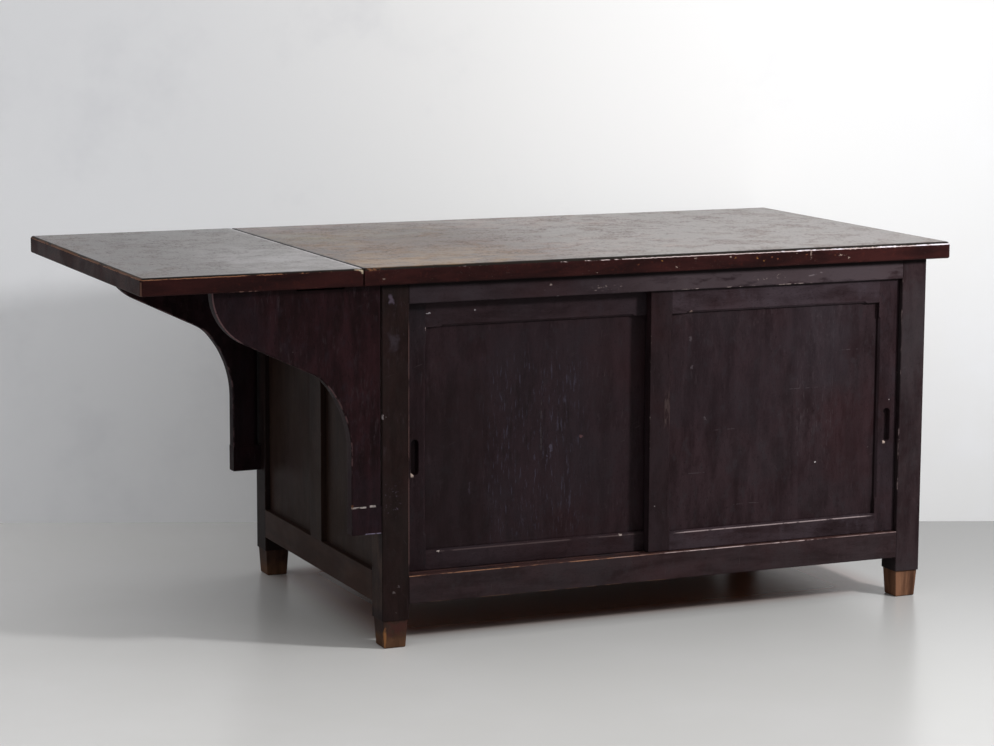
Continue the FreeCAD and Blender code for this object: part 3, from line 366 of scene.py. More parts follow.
@dataclass(frozen=True)
class OldFinish:
    """Dark polish on wood, dulled, scratched and worn at its arrises.

    Attributes:
        name: The material's name.
        grain: Way of the fibres.
        facing: Axis that its main face looks along.
        deep: Colour between the streaks.
        light: Colour of the streaks.
        haze: Colour of dulled areas.
        haze_amount: How strongly they show.
        grime: Colour of fine ragged marks along the grain.
        red: Colour where the polish is thin.
        red_amount: How strongly it shows.
        bare: Wood where the finish is lost.
        rub: Colour of rubbed arrises.
        rub_amount: How strongly they show.
        wear: Share of an arris that is bare.
        scratch: Colour of scratches.
        scratch_amount: How strongly they show.
        chip: Colour of knocks.
        chip_share: Share of knocks that show.
        flecks: How strongly the short flecks show.
        roughness: Middle roughness.
        gloss: Specular level.
        seed: Moves every pattern.
        places: Wear in single places.
    """

    name: str
    grain: Grain = Grain.ALONG_Z
    facing: Facing = Facing.Y
    deep: Colour = srgb(26, 17, 19)
    light: Colour = srgb(38, 27, 30)
    haze: Colour = srgb(33, 30, 34)
    haze_amount: float = 0.45
    grime: Colour = srgb(47, 38, 41)
    red: Colour = srgb(42, 20, 20)
    red_amount: float = 0.3
    bare: Colour = srgb(128, 110, 106)
    rub: Colour = srgb(46, 36, 37)
    rub_amount: float = 0.3
    wear: float = 0.22
    scratch: Colour = srgb(86, 76, 78)
    scratch_amount: float = 0.25
    chip: Colour = srgb(140, 130, 130)
    chip_share: float = 0.03
    flecks: float = 0.35
    roughness: float = 0.46
    gloss: float = 0.05
    seed: Triple = ORIGIN
    places: tuple[WornPlace, ...] = ()

    def material(self, effects: Effects) -> bpy.types.Material:
        """Builds the material.

        Args:
            effects: The shared effects.

        Returns:
            The new material.
        """
        made = bpy.data.materials.new(self.name)
        made.use_nodes = True
        w = Wiring(made.node_tree)
        shader = made.node_tree.nodes["Principled BSDF"]
        place = w.add("TexCoord").outputs["Object"]
        fibre = w.group(effects.fibre, {"Place": place, "Stretch": self.grain.value, "Seed": self.seed})
        arris = w.group(effects.arris, {"Place": place, "Seed": self.seed, "Amount": self.wear})
        colour, rough = self._ground(w, effects, place, fibre)
        colour, cut = self._marks(w, effects, place, colour)
        rubbed = w.times(arris.outputs["Rubbed"], self.rub_amount)
        colour = w.mix(rubbed, colour, self.rub)
        colour = w.mix(arris.outputs["Worn"], colour, self.bare)
        for spot in self.places:
            colour = self._spot(w, effects, place, colour, spot)
        w.feed(shader.inputs["Base Color"], colour)
        w.feed(shader.inputs["Roughness"], w.blend(arris.outputs["Worn"], rough, 0.7))
        shader.inputs["Specular IOR Level"].default_value = self.gloss
        self._coat(w, effects, place, shader)
        height = w.times(fibre.outputs["Fibre"], 0.35)
        height = w.minus(height, w.times(fibre.outputs["Pores"], 0.6))
        height = w.minus(height, cut)
        height = w.minus(height, w.times(arris.outputs["Worn"], 1.2))
        bump = w.add("Bump", None, {"Strength": 0.5, "Distance": 0.0004, "Height": height,
                                    "Normal": arris.outputs["Normal"]})
        w.feed(shader.inputs["Normal"], bump.outputs["Normal"])
        return made

    def _ground(self, w: Wiring, effects: Effects, place: Socket, fibre: Node) -> tuple[Socket, Socket]:
        """Lays the unworn polish.

        Args:
            w: Wiring of the material's tree.
            effects: The shared effects.
            place: Place on the piece.
            fibre: The wood figure's node.

        Returns:
            Its colour and roughness.
        """
        colour = w.mix(fibre.outputs["Streak"], self.deep, self.light)
        mottle = w.noise(w.drawn(place, (1.0, 1.0, 0.6), self.seed), 48.0, 4.0, 0.6)
        colour = w.mix(w.ramp(mottle, 0.52, 0.7, 0.0, 0.45), colour, self.haze)
        colour = w.mix(w.ramp(mottle, 0.46, 0.3, 0.0, 0.5), colour, self.deep)
        grime = w.noise(w.drawn(place, self.grain.value, self.seed), 150.0, 5.0, 0.7, 0.4)
        gathered = w.ramp(w.noise(w.shifted(place, self.seed), 9.0, 2.0), 0.42, 0.62, 0.25, 1.0)
        colour = w.mix(w.times(w.ramp(grime, 0.54, 0.68, 0.0, 0.6), gathered), colour, self.grime)
        colour = w.mix(w.times(w.ramp(grime, 0.46, 0.34, 0.0, 0.6), gathered), colour, self.deep)
        colour = w.mix(w.times(fibre.outputs["Fibre"], self.flecks), colour, self.light)
        haze = w.mask(effects.patches, {"Place": place, "Seed": self.seed, "Scale": 5.0, "From": 0.42, "To": 0.66})
        colour = w.mix(w.times(haze, self.haze_amount), colour, self.haze)
        seed = tuple(value + 3.7 for value in self.seed)
        thin = w.mask(effects.patches, {"Place": place, "Seed": seed, "Scale": 4.0, "From": 0.5, "To": 0.72})
        colour = w.mix(w.times(thin, self.red_amount), colour, self.red)
        colour = w.mix(w.times(fibre.outputs["Pores"], 0.5), colour, self.deep, "MULTIPLY")
        rough = w.blend(haze, self.roughness, self.roughness + 0.12)
        return colour, w.plus(rough, w.times(fibre.outputs["Fibre"], 0.05))

    def _marks(self, w: Wiring, effects: Effects, place: Socket, colour: Socket) -> tuple[Socket, Socket]:
        """Adds scratches and knocks.

        Args:
            w: Wiring of the material's tree.
            effects: The shared effects.
            place: Place on the piece.
            colour: The colour so far.

        Returns:
            The colour with them, and how deep they are.
        """
        deep = 0.0
        for index, angle in enumerate((0.35, 1.45, 2.2)):
            seed = tuple(value + 11.3 * (index + 1) for value in self.seed)
            lines = w.mask(effects.scratches, {"Place": place, "Seed": seed, "Facing": self.facing.value,
                                               "Angle": angle})
            mask = w.times(lines, self.scratch_amount)
            colour = w.mix(mask, colour, self.scratch)
            deep = w.plus(deep, mask)
        chips = w.mask(effects.chips, {"Place": place, "Seed": self.seed, "Share": self.chip_share})
        return w.mix(w.times(chips, 0.6), colour, self.chip), w.plus(deep, chips)

    def _spot(self, w: Wiring, effects: Effects, place: Socket, colour: Socket, spot: WornPlace) -> Socket:
        """Adds wear in one place.

        Args:
            w: Wiring of the material's tree.
            effects: The shared effects.
            place: Place on the piece.
            colour: The colour so far.
            spot: Where it is worn, and how.

        Returns:
            The colour with it.
        """
        middle = tuple((a + b) / 2 for a, b in zip(spot.low, spot.high))
        half = tuple((b - a) / 2 for a, b in zip(spot.low, spot.high))
        window = w.mask(effects.window, {"Place": place, "Middle": middle, "Half": half, "Soft": spot.soft,
                                         "Drift": spot.drift, "Drift Scale": spot.drift_scale})
        mask = w.times(window, spot.strength)
        if spot.broken > 0:
            cloud = w.noise(w.vector("MULTIPLY", place, spot.stretch), spot.scale, 4.0, 0.65)
            edge = 0.3 + 0.4 * spot.broken
            mask = w.times(mask, w.ramp(cloud, edge, edge + spot.fade))
        return w.mix(mask, colour, spot.colour)

    def _coat(self, w: Wiring, effects: Effects, place: Socket, shader: Node) -> None:
        """Adds no polish film; a finish that has one overrides this."""


@dataclass(frozen=True)
class TopFinish(OldFinish):
    """Polished board: the level face keeps a film that shines at low angles, and its worn areas show tan wood; its
    rounded arrises get a painted dark reflection and a painted highlight line.

    Attributes:
        rim: Width of the band along the outer arrises that takes the edges' colour and their painted dark reflection.
        outer: Lowest and highest place of the level face along X.
        depth: Half the depth of the level face.
        tan: Colour of worn wood.
        tan_middle: Middle of the worn area.
        tan_reach: Half its size.
        tan_amount: How strongly it shows.
        grey: Colour of light scuffs.
        grey_amount: How strongly they show.
        dark: Colour of stains.
        dark_amount: How strongly they show.
        edge_deep: Colour of the upright edges.
        edge_light: Colour of the upright edges' streaks.
        edge_worn: Colour where the edges are rubbed.
        film: How much film there is between the dulled patches.
        film_rough: How rough the film is.
        film_index: Its index of refraction.
        film_gap: How much of the film is dulled in patches.
        film_lost: How much of it is lost in the worn area.
        rim_dark_reflection: Colour of the painted dark reflection along the rounded arris.
        line: Colour of the painted highlight line along the rounded arris.
        line_height: Height of its middle.
        line_half: Half its width.
        line_from: Where it starts to close up along X.
        line_to: Where it is unbroken along X.
        line_gaps: Its broken share before and after these two places.
    """

    rim: float = 0.011
    outer: tuple[float, float] = (-1.0, 1.0)
    depth: float = 0.426
    tan: Colour = srgb(176, 118, 62)
    tan_middle: Triple = (-0.28, -0.05, FACE_HEIGHT)
    tan_reach: Triple = (0.1, 0.25, 0.1)
    tan_amount: float = 0.9
    grey: Colour = srgb(168, 156, 152)
    grey_amount: float = 0.5
    dark: Colour = srgb(34, 26, 24)
    dark_amount: float = 0.6
    edge_deep: Colour = srgb(26, 12, 12)
    edge_light: Colour = srgb(45, 21, 20)
    edge_worn: Colour = srgb(66, 30, 24)
    film: float = 1.26
    film_rough: float = 0.3
    film_index: float = 1.5
    film_gap: float = 0.6
    film_lost: float = 0.4
    rim_dark_reflection: Colour = srgb(30, 27, 24)
    line: Colour = srgb(206, 188, 184)
    line_height: float = 0.7947
    line_half: float = 0.0007
    line_from: float = -0.1
    line_to: float = 0.3
    line_gaps: tuple[float, float] = (0.64, 0.28)

    def _arris_line(self, w: Wiring, place: Socket, edge: Socket) -> Socket:
        """Adds a painted dark reflection on the rounded arris and a thin painted highlight line below it.

        Args:
            w: Wiring of the material's tree.
            place: Place on the piece.
            edge: Colour of the upright edges.

        Returns:
            The edges' colour with both.
        """
        along, _, height = w.parts(place)
        height = w.plus(height, w.times(w.minus(w.noise(place, 130.0, 4.0, 0.6), 0.5), 0.003))
        rim = w.ramp(height, self.line_height, self.line_height + 0.001)
        # Painted dark reflection over the rounded arris above the line.
        colour = w.mix(w.times(rim, 0.9), edge, self.rim_dark_reflection)
        # A thin broken pale line below it: a painted highlight.
        away = w.math("ABSOLUTE", w.minus(height, self.line_height))
        band = w.ramp(away, self.line_half + 0.0007, self.line_half)
        cloud = w.noise(w.vector("MULTIPLY", place, (0.35, 0.35, 1.0)), 75.0, 4.0, 0.7)
        start = w.ramp(along, self.line_from, self.line_to, *self.line_gaps)
        open_part = w.ramp(cloud, start, w.plus(start, 0.08))
        return w.mix(w.times(band, open_part), colour, self.line)

    def _face_mask(self, w: Wiring, effects: Effects, place: Socket) -> Socket:
        """Tells the level face from its rim and the edges.

        Args:
            w: Wiring of the material's tree.
            effects: The shared effects.
            place: Place on the piece.

        Returns:
            1 on the level face inside the rim, 0 on the rim and the edges.
        """
        middle = ((self.outer[0] + self.outer[1]) / 2, 0.0, FACE_HEIGHT)
        half = ((self.outer[1] - self.outer[0]) / 2 - self.rim, self.depth - self.rim, FACE_REACH)
        return w.mask(effects.window, {"Place": place, "Middle": middle, "Half": half,
                                       "Soft": (0.003, 0.003, FACE_FADE)})

    def _tan_window(self, w: Wiring, effects: Effects, place: Socket, soft: Triple) -> Socket:
        """Returns 1 in the worn area, fading out around it."""
        return w.mask(effects.window, {"Place": place, "Middle": self.tan_middle, "Half": self.tan_reach,
                                       "Soft": soft})

    def _blotches(self, w: Wiring, place: Socket) -> tuple[Socket, Socket]:
        """Makes the blotches of the level face.

        Args:
            w: Wiring of the material's tree.
            place: Place on the piece.

        Returns:
            The middling and the small ones.
        """
        middling = w.noise(w.drawn(place, (0.8, 0.8, 1.0), self.seed), 17.0, 7.0, 0.74, 0.5)
        small = w.noise(w.drawn(place, (1.0, 0.6, 1.0), self.seed), 95.0, 5.0, 0.68, 0.3)
        return middling, small

    def _grit(self, w: Wiring, place: Socket) -> Socket:
        """Returns dark crumbs of the crazed polish."""
        fine = w.noise(w.drawn(place, (1.0, 0.35, 1.0), self.seed), 230.0, 3.0, 0.6, 0.9)
        return w.ramp(fine, 0.49, 0.38)

    def _ground(self, w: Wiring, effects: Effects, place: Socket, fibre: Node) -> tuple[Socket, Socket]:
        """Lays the mottled level face and the edges, with the painted reflection and highlight on their rounded
        arrises.

        Args:
            w: Wiring of the material's tree.
            effects: The shared effects.
            place: Place on the piece.
            fibre: The wood figure's node.

        Returns:
            Their colour and roughness.
        """
        middling, small = self._blotches(w, place)
        edge = w.mix(fibre.outputs["Streak"], self.edge_deep, self.edge_light)
        edge = w.mix(w.times(w.ramp(small, 0.54, 0.7), 0.3), edge, self.edge_worn)
        edge = self._arris_line(w, place, edge)
        face = w.mix(w.ramp(middling, 0.3, 0.7), self.deep, self.light)
        face = w.mix(w.times(fibre.outputs["Streak"], 0.4), face, self.light)
        haze = w.mask(effects.patches, {"Place": place, "Seed": self.seed, "Scale": 7.0, "From": 0.42, "To": 0.62})
        face = w.mix(w.times(haze, self.haze_amount), face, self.haze)
        window = self._tan_window(w, effects, place, (0.45, 0.25, 1.0))
        rubbed = w.plus(w.times(middling, 0.6), w.times(small, 0.4))
        start = w.minus(0.66, w.times(window, 0.2))
        rubbed = w.ramp(rubbed, start, w.plus(start, 0.13))
        rubbed = w.times(rubbed, w.ramp(window, -0.1, 0.6, 0.25, self.tan_amount))
        face = w.mix(rubbed, face, self.tan)
        face = w.mix(w.times(w.ramp(small, 0.56, 0.72), self.grey_amount), face, self.grey)
        face = w.mix(w.times(w.ramp(small, 0.42, 0.28), self.dark_amount), face, self.dark)
        face = w.mix(w.times(self._grit(w, place), self.dark_amount), face, self.dark)
        lines = w.noise(w.drawn(place, (0.035, 1.0, 1.0), self.seed), 210.0, 4.0, 0.6)
        face = w.mix(w.ramp(lines, 0.46, 0.68, 0.0, 0.65), face, self.deep)
        threads = w.noise(w.drawn(place, (0.05, 1.0, 1.0), self.seed), 520.0, 3.0, 0.6)
        face = w.mix(w.ramp(threads, 0.5, 0.66, 0.0, 0.4), face, self.grey)
        pits = w.mask(effects.chips, {"Place": place, "Seed": self.seed, "Scale": 120.0, "Size": 0.16, "Share": 0.12})
        face = w.mix(w.times(pits, self.dark_amount), face, self.dark)
        colour = w.mix(self._face_mask(w, effects, place), edge, face)
        return colour, w.blend(haze, self.roughness, self.roughness + 0.12)

    def _coat(self, w: Wiring, effects: Effects, place: Socket, shader: Node) -> None:
        """Gives the level face its film of polish, dulled in patches.

        Args:
            w: Wiring of the material's tree.
            effects: The shared effects.
            place: Place on the piece.
            shader: The material's shader.
        """
        middling, small = self._blotches(w, place)
        whole = w.minus(self.film, w.times(w.ramp(middling, 0.4, 0.62), self.film_gap))
        whole = w.minus(whole, w.times(w.ramp(small, 0.47, 0.32), 0.4))
        whole = w.minus(whole, w.times(self._grit(w, place), 0.3), clamp=True)
        window = self._tan_window(w, effects, place, (0.5, 0.35, 1.0))
        whole = w.times(whole, w.ramp(window, 0.0, 1.0, 1.0, 1.0 - self.film_lost))
        w.feed(shader.inputs["Coat Weight"], w.times(self._face_mask(w, effects, place), whole))
        shader.inputs["Coat Roughness"].default_value = self.film_rough
        shader.inputs["Coat IOR"].default_value = self.film_index


@dataclass(frozen=True)
class FootFinish(OldFinish):
    """Foot block whose polish is worn off from the floor up.

    Attributes:
        bare_top: Height below which the wood is bare.
        fade: How far the worn edge fades.
        under: Colour of the bare wood's streaks.
    """

    bare_top: float = 0.02
    fade: float = 0.02
    under: Colour = srgb(96, 68, 52)

    def _ground(self, w: Wiring, effects: Effects, place: Socket, fibre: Node) -> tuple[Socket, Socket]:
        """Lays the polish down to its worn edge, and bare wood below.

        Args:
            w: Wiring of the material's tree.
            effects: The shared effects.
            place: Place on the piece.
            fibre: The wood figure's node.

        Returns:
            The colour and roughness.
        """
        colour, rough = OldFinish._ground(self, w, effects, place, fibre)
        bare = w.mix(fibre.outputs["Streak"], self.under, self.bare)
        ragged = w.times(w.minus(w.noise(place, 55.0, 4.0, 0.6), 0.5), 0.03)
        mask = w.ramp(w.plus(w.parts(place)[2], ragged), self.bare_top, self.bare_top + self.fade, 1.0, 0.0)
        return w.mix(mask, colour, bare), w.blend(mask, rough, 0.6)


@dataclass(frozen=True)
class SteelFinish:
    """Old dark steel with a little rust.

    Attributes:
        name: The material's name.
        bright: Clean metal.
        dark: Tarnished metal.
        rust: Rust.
    """

    name: str = "old_steel"
    bright: Colour = srgb(128, 124, 118)
    dark: Colour = srgb(62, 58, 54)
    rust: Colour = srgb(92, 54, 34)

    def material(self, effects: Effects) -> bpy.types.Material:
        """Builds the material.

        Args:
            effects: The shared effects.

        Returns:
            The new material.
        """
        made = bpy.data.materials.new(self.name)
        made.use_nodes = True
        w = Wiring(made.node_tree)
        shader = made.node_tree.nodes["Principled BSDF"]
        place = w.add("TexCoord").outputs["Object"]
        tarnish = w.mask(effects.patches, {"Place": place, "Scale": 60.0, "From": 0.4, "To": 0.6})
        rust = w.mask(effects.patches, {"Place": place, "Seed": (5.0, 2.0, 1.0), "Scale": 110.0, "From": 0.52,
                                        "To": 0.62})
        arris = w.group(effects.arris, {"Place": place, "Width": 0.0006, "Amount": 0.9, "Break Scale": 400.0})
        colour = w.mix(tarnish, self.bright, self.dark)
        colour = w.mix(w.times(arris.outputs["Worn"], 0.6), colour, self.bright)
        colour = w.mix(w.times(rust, 0.8), colour, self.rust)
        w.feed(shader.inputs["Base Color"], colour)
        w.feed(shader.inputs["Metallic"], w.blend(rust, 1.0, 0.15))
        w.feed(shader.inputs["Roughness"], w.blend(rust, 0.38, 0.8))
        fine = w.noise(place, 900.0, 3.0, 0.6)
        bump = w.add("Bump", None, {"Strength": 0.25, "Distance": 0.0002, "Height": fine,
                                    "Normal": arris.outputs["Normal"]})
        w.feed(shader.inputs["Normal"], bump.outputs["Normal"])
        return made


def dress(names: list[str], material: bpy.types.Material) -> None:
    """Gives CAD nodes a material and reports them.

    Args:
        names: The nodes' names.
        material: What they get.
    """
    for name in names:
        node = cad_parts[name]
        for slot in node.material_slots:
            slot.material = material
    log.info("%s: %s", material.name, ", ".join(names))


@dataclass
class Cabinet:
    """Posts, feet, rails, muntins and fixed panels.

    Attributes:
        left: Outer face of the left posts.
        right: Outer face of the right posts.
        front: Outer face of the front posts.
        post: Side of a post.
        rail_top: Upper face of the front bottom rail.
        opening_top: Lower face of the front top rail.
    """

    left: float = -0.411
    right: float = 0.879
    front: float = -0.4
    post: float = 0.06
    rail_top: float = 0.1515
    opening_top: float = 0.7195

    def dress(self, effects: Effects) -> None:
        """Dresses every piece of the cabinet.

        Args:
            effects: The shared effects.
        """
        for index, name in enumerate(("front_left", "front_right", "rear_left", "rear_right")):
            dress(["post_" + name], self._post_finish(index, name).material(effects))
        dress(["front_top_rail"], self._top_rail_finish().material(effects))
        dress(["front_bottom_rail"], self._bottom_rail_finish().material(effects))
        self._ends_and_back(effects)
        self._feet(effects)

    def _face(self, depth: float = 0.003) -> Front:
        """Returns the face of the posts and front rails, with wear down to a depth."""
        return Front.at(self.front, depth)

    def _post_finish(self, index: int, name: str) -> OldFinish:
        """Returns the finish of one post: the front right one is duller and more chipped.

        Args:
            index: Number of the post.
            name: Which post.

        Returns:
            The finish.
        """
        if name == "front_right":
            tones = {"deep": srgb(27, 18, 20), "light": srgb(44, 34, 36), "haze": srgb(45, 41, 43), "chip_share": 0.1}
        else:
            tones = {"deep": srgb(21, 13, 12), "light": srgb(34, 23, 22), "haze": srgb(31, 26, 25), "chip_share": 0.04}
        return OldFinish("post_polish_" + name, seed=(1.7 * index, 0.4, 2.1), haze_amount=0.6, red_amount=0.15,
                         places=self._post_places(name), **tones)

    def _post_places(self, name: str) -> tuple[WornPlace, ...]:
        """Returns the wear of a front post, with the painted shadow under the top's overhang; the rear ones have none
        of their own.

        Args:
            name: Which post.

        Returns:
            Its worn places.
        """
        face, violet = self._face(), srgb(84, 74, 86)
        if name == "front_left":
            inner = self.left + self.post
            side = WornPlace((self.left - 0.001, self.front + 0.003, 0.09), (self.left + 0.001, -0.34, 0.74),
                             srgb(66, 50, 43), 0.75, 0.15, 26.0, (0.001, 0.002, 0.02), (1.0, 1.0, 0.3), fade=0.3)
            return (side,
                    face.mark((-0.387, -0.384), (0.118, 0.122), srgb(92, 84, 84)),
                    face.mark((-0.376, -0.374), (0.13, 0.134), srgb(84, 76, 78)),
                    face.worn((inner - 0.0008, inner + 0.001), (0.165, 0.66), srgb(112, 84, 80), 0.85, 0.3, 70.0,
                              (0.0006, 0.001, 0.03), (1.0, 1.0, 0.2)),
                    face.worn((-0.393, -0.389), (0.726, 0.735), violet, 0.6, 0.0, soft=(0.005, 0.002, 0.008),
                              drift=(0.02, 0.0, 0.02), drift_scale=90.0),
                    face.worn((-0.388, -0.384), (0.636, 0.652), srgb(54, 47, 53), 0.5, 0.0,
                              soft=(0.012, 0.002, 0.02), drift=(0.04, 0.0, 0.04), drift_scale=60.0),
                    face.worn((-0.4, -0.375), (0.29, 0.34), violet, 0.6, 0.7, 120.0, (0.01, 0.002, 0.02)),
                    face.mark((-0.41, -0.409), (0.485, 0.494), srgb(150, 140, 142)),
                    self._painted_overhang_shadow())
        if name == "front_right":
            inner = self.right - self.post
            return (face.worn((inner - 0.001, inner + 0.001), (0.25, 0.7), srgb(126, 108, 108), 0.8, 0.55, 60.0,
                              (0.0006, 0.001, 0.05), (1.0, 1.0, 0.3)),
                    self._painted_overhang_shadow())
        return ()

    def _painted_overhang_shadow(self) -> WornPlace:
        """Returns the painted shadow of the top's overhang: a near-black band on the front close under the top."""
        return self._face(0.002).worn((self.left - 0.01, self.right + 0.01), (0.7565, 0.77), srgb(12, 7, 8), 0.85, 0.0,
                                      soft=(0.001, 0.001, 0.004), drift=(0.0, 0.0, 0.002), drift_scale=40.0)

    def _top_rail_finish(self) -> OldFinish:
        """Makes the front top rail's finish with its chips, scuffs and the painted shadow under the top's overhang.

        Returns:
            The finish.
        """
        face, low, along = self._face(), self.opening_top, (0.5, 1.0, 1.0)
        white, grey = srgb(140, 126, 122), srgb(100, 92, 95)
        worn = face.worn((0.3, 0.83), (low, 0.765), srgb(66, 57, 60), 0.55, 0.2, 30.0, (0.3, 0.001, 0.01),
                         (0.3, 1.0, 1.0))
        arrises = (face.worn((0.28, 0.6), (low - 0.001, low + 0.0016), white, 0.85, 0.6, 80.0, (0.05, 0.001, 0.001),
                             along),
                   face.worn((-0.2, 0.0), (low - 0.001, low + 0.0014), grey, 0.8, 0.66, 90.0, (0.03, 0.001, 0.001),
                             along))
        scuffs = (face.worn((0.07, 0.125), (low + 0.01, low + 0.018), white, 0.6, 0.66, 220.0, (0.012, 0.001, 0.004),
                            along),
                  face.worn((0.45, 0.52), (low + 0.014, low + 0.022), white, 0.5, 0.68, 220.0, (0.015, 0.001, 0.004),
                            along))
        cut = face.worn((0.585, 0.612), (low + 0.0195, low + 0.0205), grey, 0.6, 0.3, 60.0, (0.006, 0.001, 0.0014),
                        drift=(0.0, 0.0, 0.02))
        chip = face.mark((-0.036, -0.031), (0.7445, 0.7455), white)
        return OldFinish("front_top_rail_polish", Grain.ALONG_X, seed=(4.0, 1.0, 0.0), haze_amount=0.6,
                         deep=srgb(31, 22, 24), light=srgb(46, 37, 40), haze=srgb(48, 42, 46),
                         places=(worn, *arrises, *scuffs, cut, chip, self._painted_overhang_shadow()))

    def _bottom_rail_finish(self) -> OldFinish:
        """Makes the front bottom rail's finish with its worn arrises.

        Returns:
            The finish.
        """
        arris, z = self._face(0.0012), self.rail_top
        low, high = self.left + self.post, self.right - self.post
        soft, along = (0.1, 0.0006, 0.0005), (0.3, 1.0, 1.0)
        ledge = WornPlace((low, self.front + 0.001, z - 0.001), (high, self.front + 0.036, z + 0.001),
                          srgb(70, 46, 42), 0.5, 0.2, 30.0, (0.002, 0.002, 0.001), (0.4, 1.0, 1.0))
        upper = tuple(arris.worn(span, (z - depth, z + 0.001), colour, strength, broken, scale, soft, along)
                      for span, depth, colour, strength, broken, scale in (
                          ((low, 0.15), 0.0016, srgb(136, 98, 76), 0.8, 0.3, 35.0),
                          ((0.15, high), 0.0014, srgb(124, 106, 104), 0.75, 0.36, 40.0),
                          ((0.3, 0.58), 0.0014, srgb(168, 150, 148), 0.8, 0.4, 50.0)))
        lower = self._face(0.002).worn((low, 0.3), (0.0915, 0.0935), srgb(98, 72, 60), 0.6, 0.4, 40.0, soft,
                                       (0.4, 1.0, 1.0))
        return OldFinish("front_bottom_rail_polish", Grain.ALONG_X, seed=(6.0, 2.0, 1.0), haze_amount=0.6,
                         deep=srgb(31, 22, 23), light=srgb(47, 36, 38), haze=srgb(43, 38, 40),
                         places=(ledge, *upper, lower))

    @staticmethod
    def _ends_and_back(effects: Effects) -> None:
        """Dresses the rails, muntins and fixed panels of both ends and of the back; the back's tones are lighter,
        painted light for a side the lamp does not reach.

        Args:
            effects: The shared effects.
        """
        ends = ("left_end_", "right_end_")
        rows = ((OldFinish("end_rail_polish", Grain.ALONG_Y, Facing.X, srgb(36, 23, 19), srgb(57, 39, 33),
                           srgb(52, 39, 34), seed=(2.0, 7.0, 1.0)), ends, ("top_rail", "bottom_rail")),
                # Back rails and panels get lighter tones: painted light for the back, which lies in shade.
                (OldFinish("back_rail_polish", Grain.ALONG_X, Facing.Y, srgb(38, 27, 26), srgb(58, 45, 44),
                           srgb(54, 47, 47), seed=(8.0, 3.0, 1.0)), ("back_",), ("top_rail", "bottom_rail")),
                (OldFinish("end_panel_polish", Grain.ALONG_Z, Facing.X, srgb(28, 17, 13), srgb(46, 32, 27),
                           srgb(42, 33, 28), seed=(3.0, 5.0, 2.0)), ends, ("muntin", "front_panel", "rear_panel")),
                (OldFinish("back_panel_polish", Grain.ALONG_Z, Facing.Y, srgb(38, 26, 25), srgb(58, 44, 43),
                           srgb(52, 45, 45), seed=(9.0, 5.0, 2.0)), ("back_",),
                 ("muntin", "left_panel", "right_panel")))
        for finish, sides, pieces in rows:
            dress([side + piece for side in sides for piece in pieces], finish.material(effects))

    def _feet(self, effects: Effects) -> None:
        """Dresses the feet, each worn to its own height; the front right one is bare of polish up to its joint.

        Args:
            effects: The shared effects.
        """
        dark = {"bare": srgb(88, 62, 46), "under": srgb(64, 44, 32), "deep": srgb(40, 27, 20),
                "light": srgb(70, 50, 40)}
        worn = {"bare": srgb(118, 84, 64), "under": srgb(62, 41, 31), "deep": srgb(30, 20, 18),
                "light": srgb(42, 29, 26)}
        feet = (("front_left", 0.016, 0.02, dark), ("front_right", 0.058, 0.012, worn),
                ("rear_left", 0.012, 0.03, dark), ("rear_right", 0.02, 0.02, dark))
        for index, (name, height, fade, tones) in enumerate(feet):
            places = self._front_left_foot_places() if name == "front_left" else ()
            finish = FootFinish("foot_polish_" + name, seed=(2.3 * index, 1.0, 4.0), bare_top=height, fade=fade,
                                places=places, **tones)
            dress(["foot_" + name], finish.material(effects))

    def _front_left_foot_places(self) -> tuple[WornPlace, ...]:
        """Gives the red face and the worn upright arris of the front left foot.

        Returns:
            The worn places.
        """
        x, y = self.left + 0.004, self.front + 0.002
        return (WornPlace((x + 0.012, y - 0.004, 0.028), (x + 0.05, y + 0.01, 0.06), srgb(62, 36, 32), 0.7, 0.2, 40.0,
                          (0.006, 0.004, 0.006)),
                WornPlace((x - 0.002, y - 0.002, 0.0), (x + 0.005, y + 0.012, 0.05), srgb(124, 84, 52), 0.85, 0.35,
                          60.0, (0.003, 0.004, 0.01), (1.0, 1.0, 0.3)))


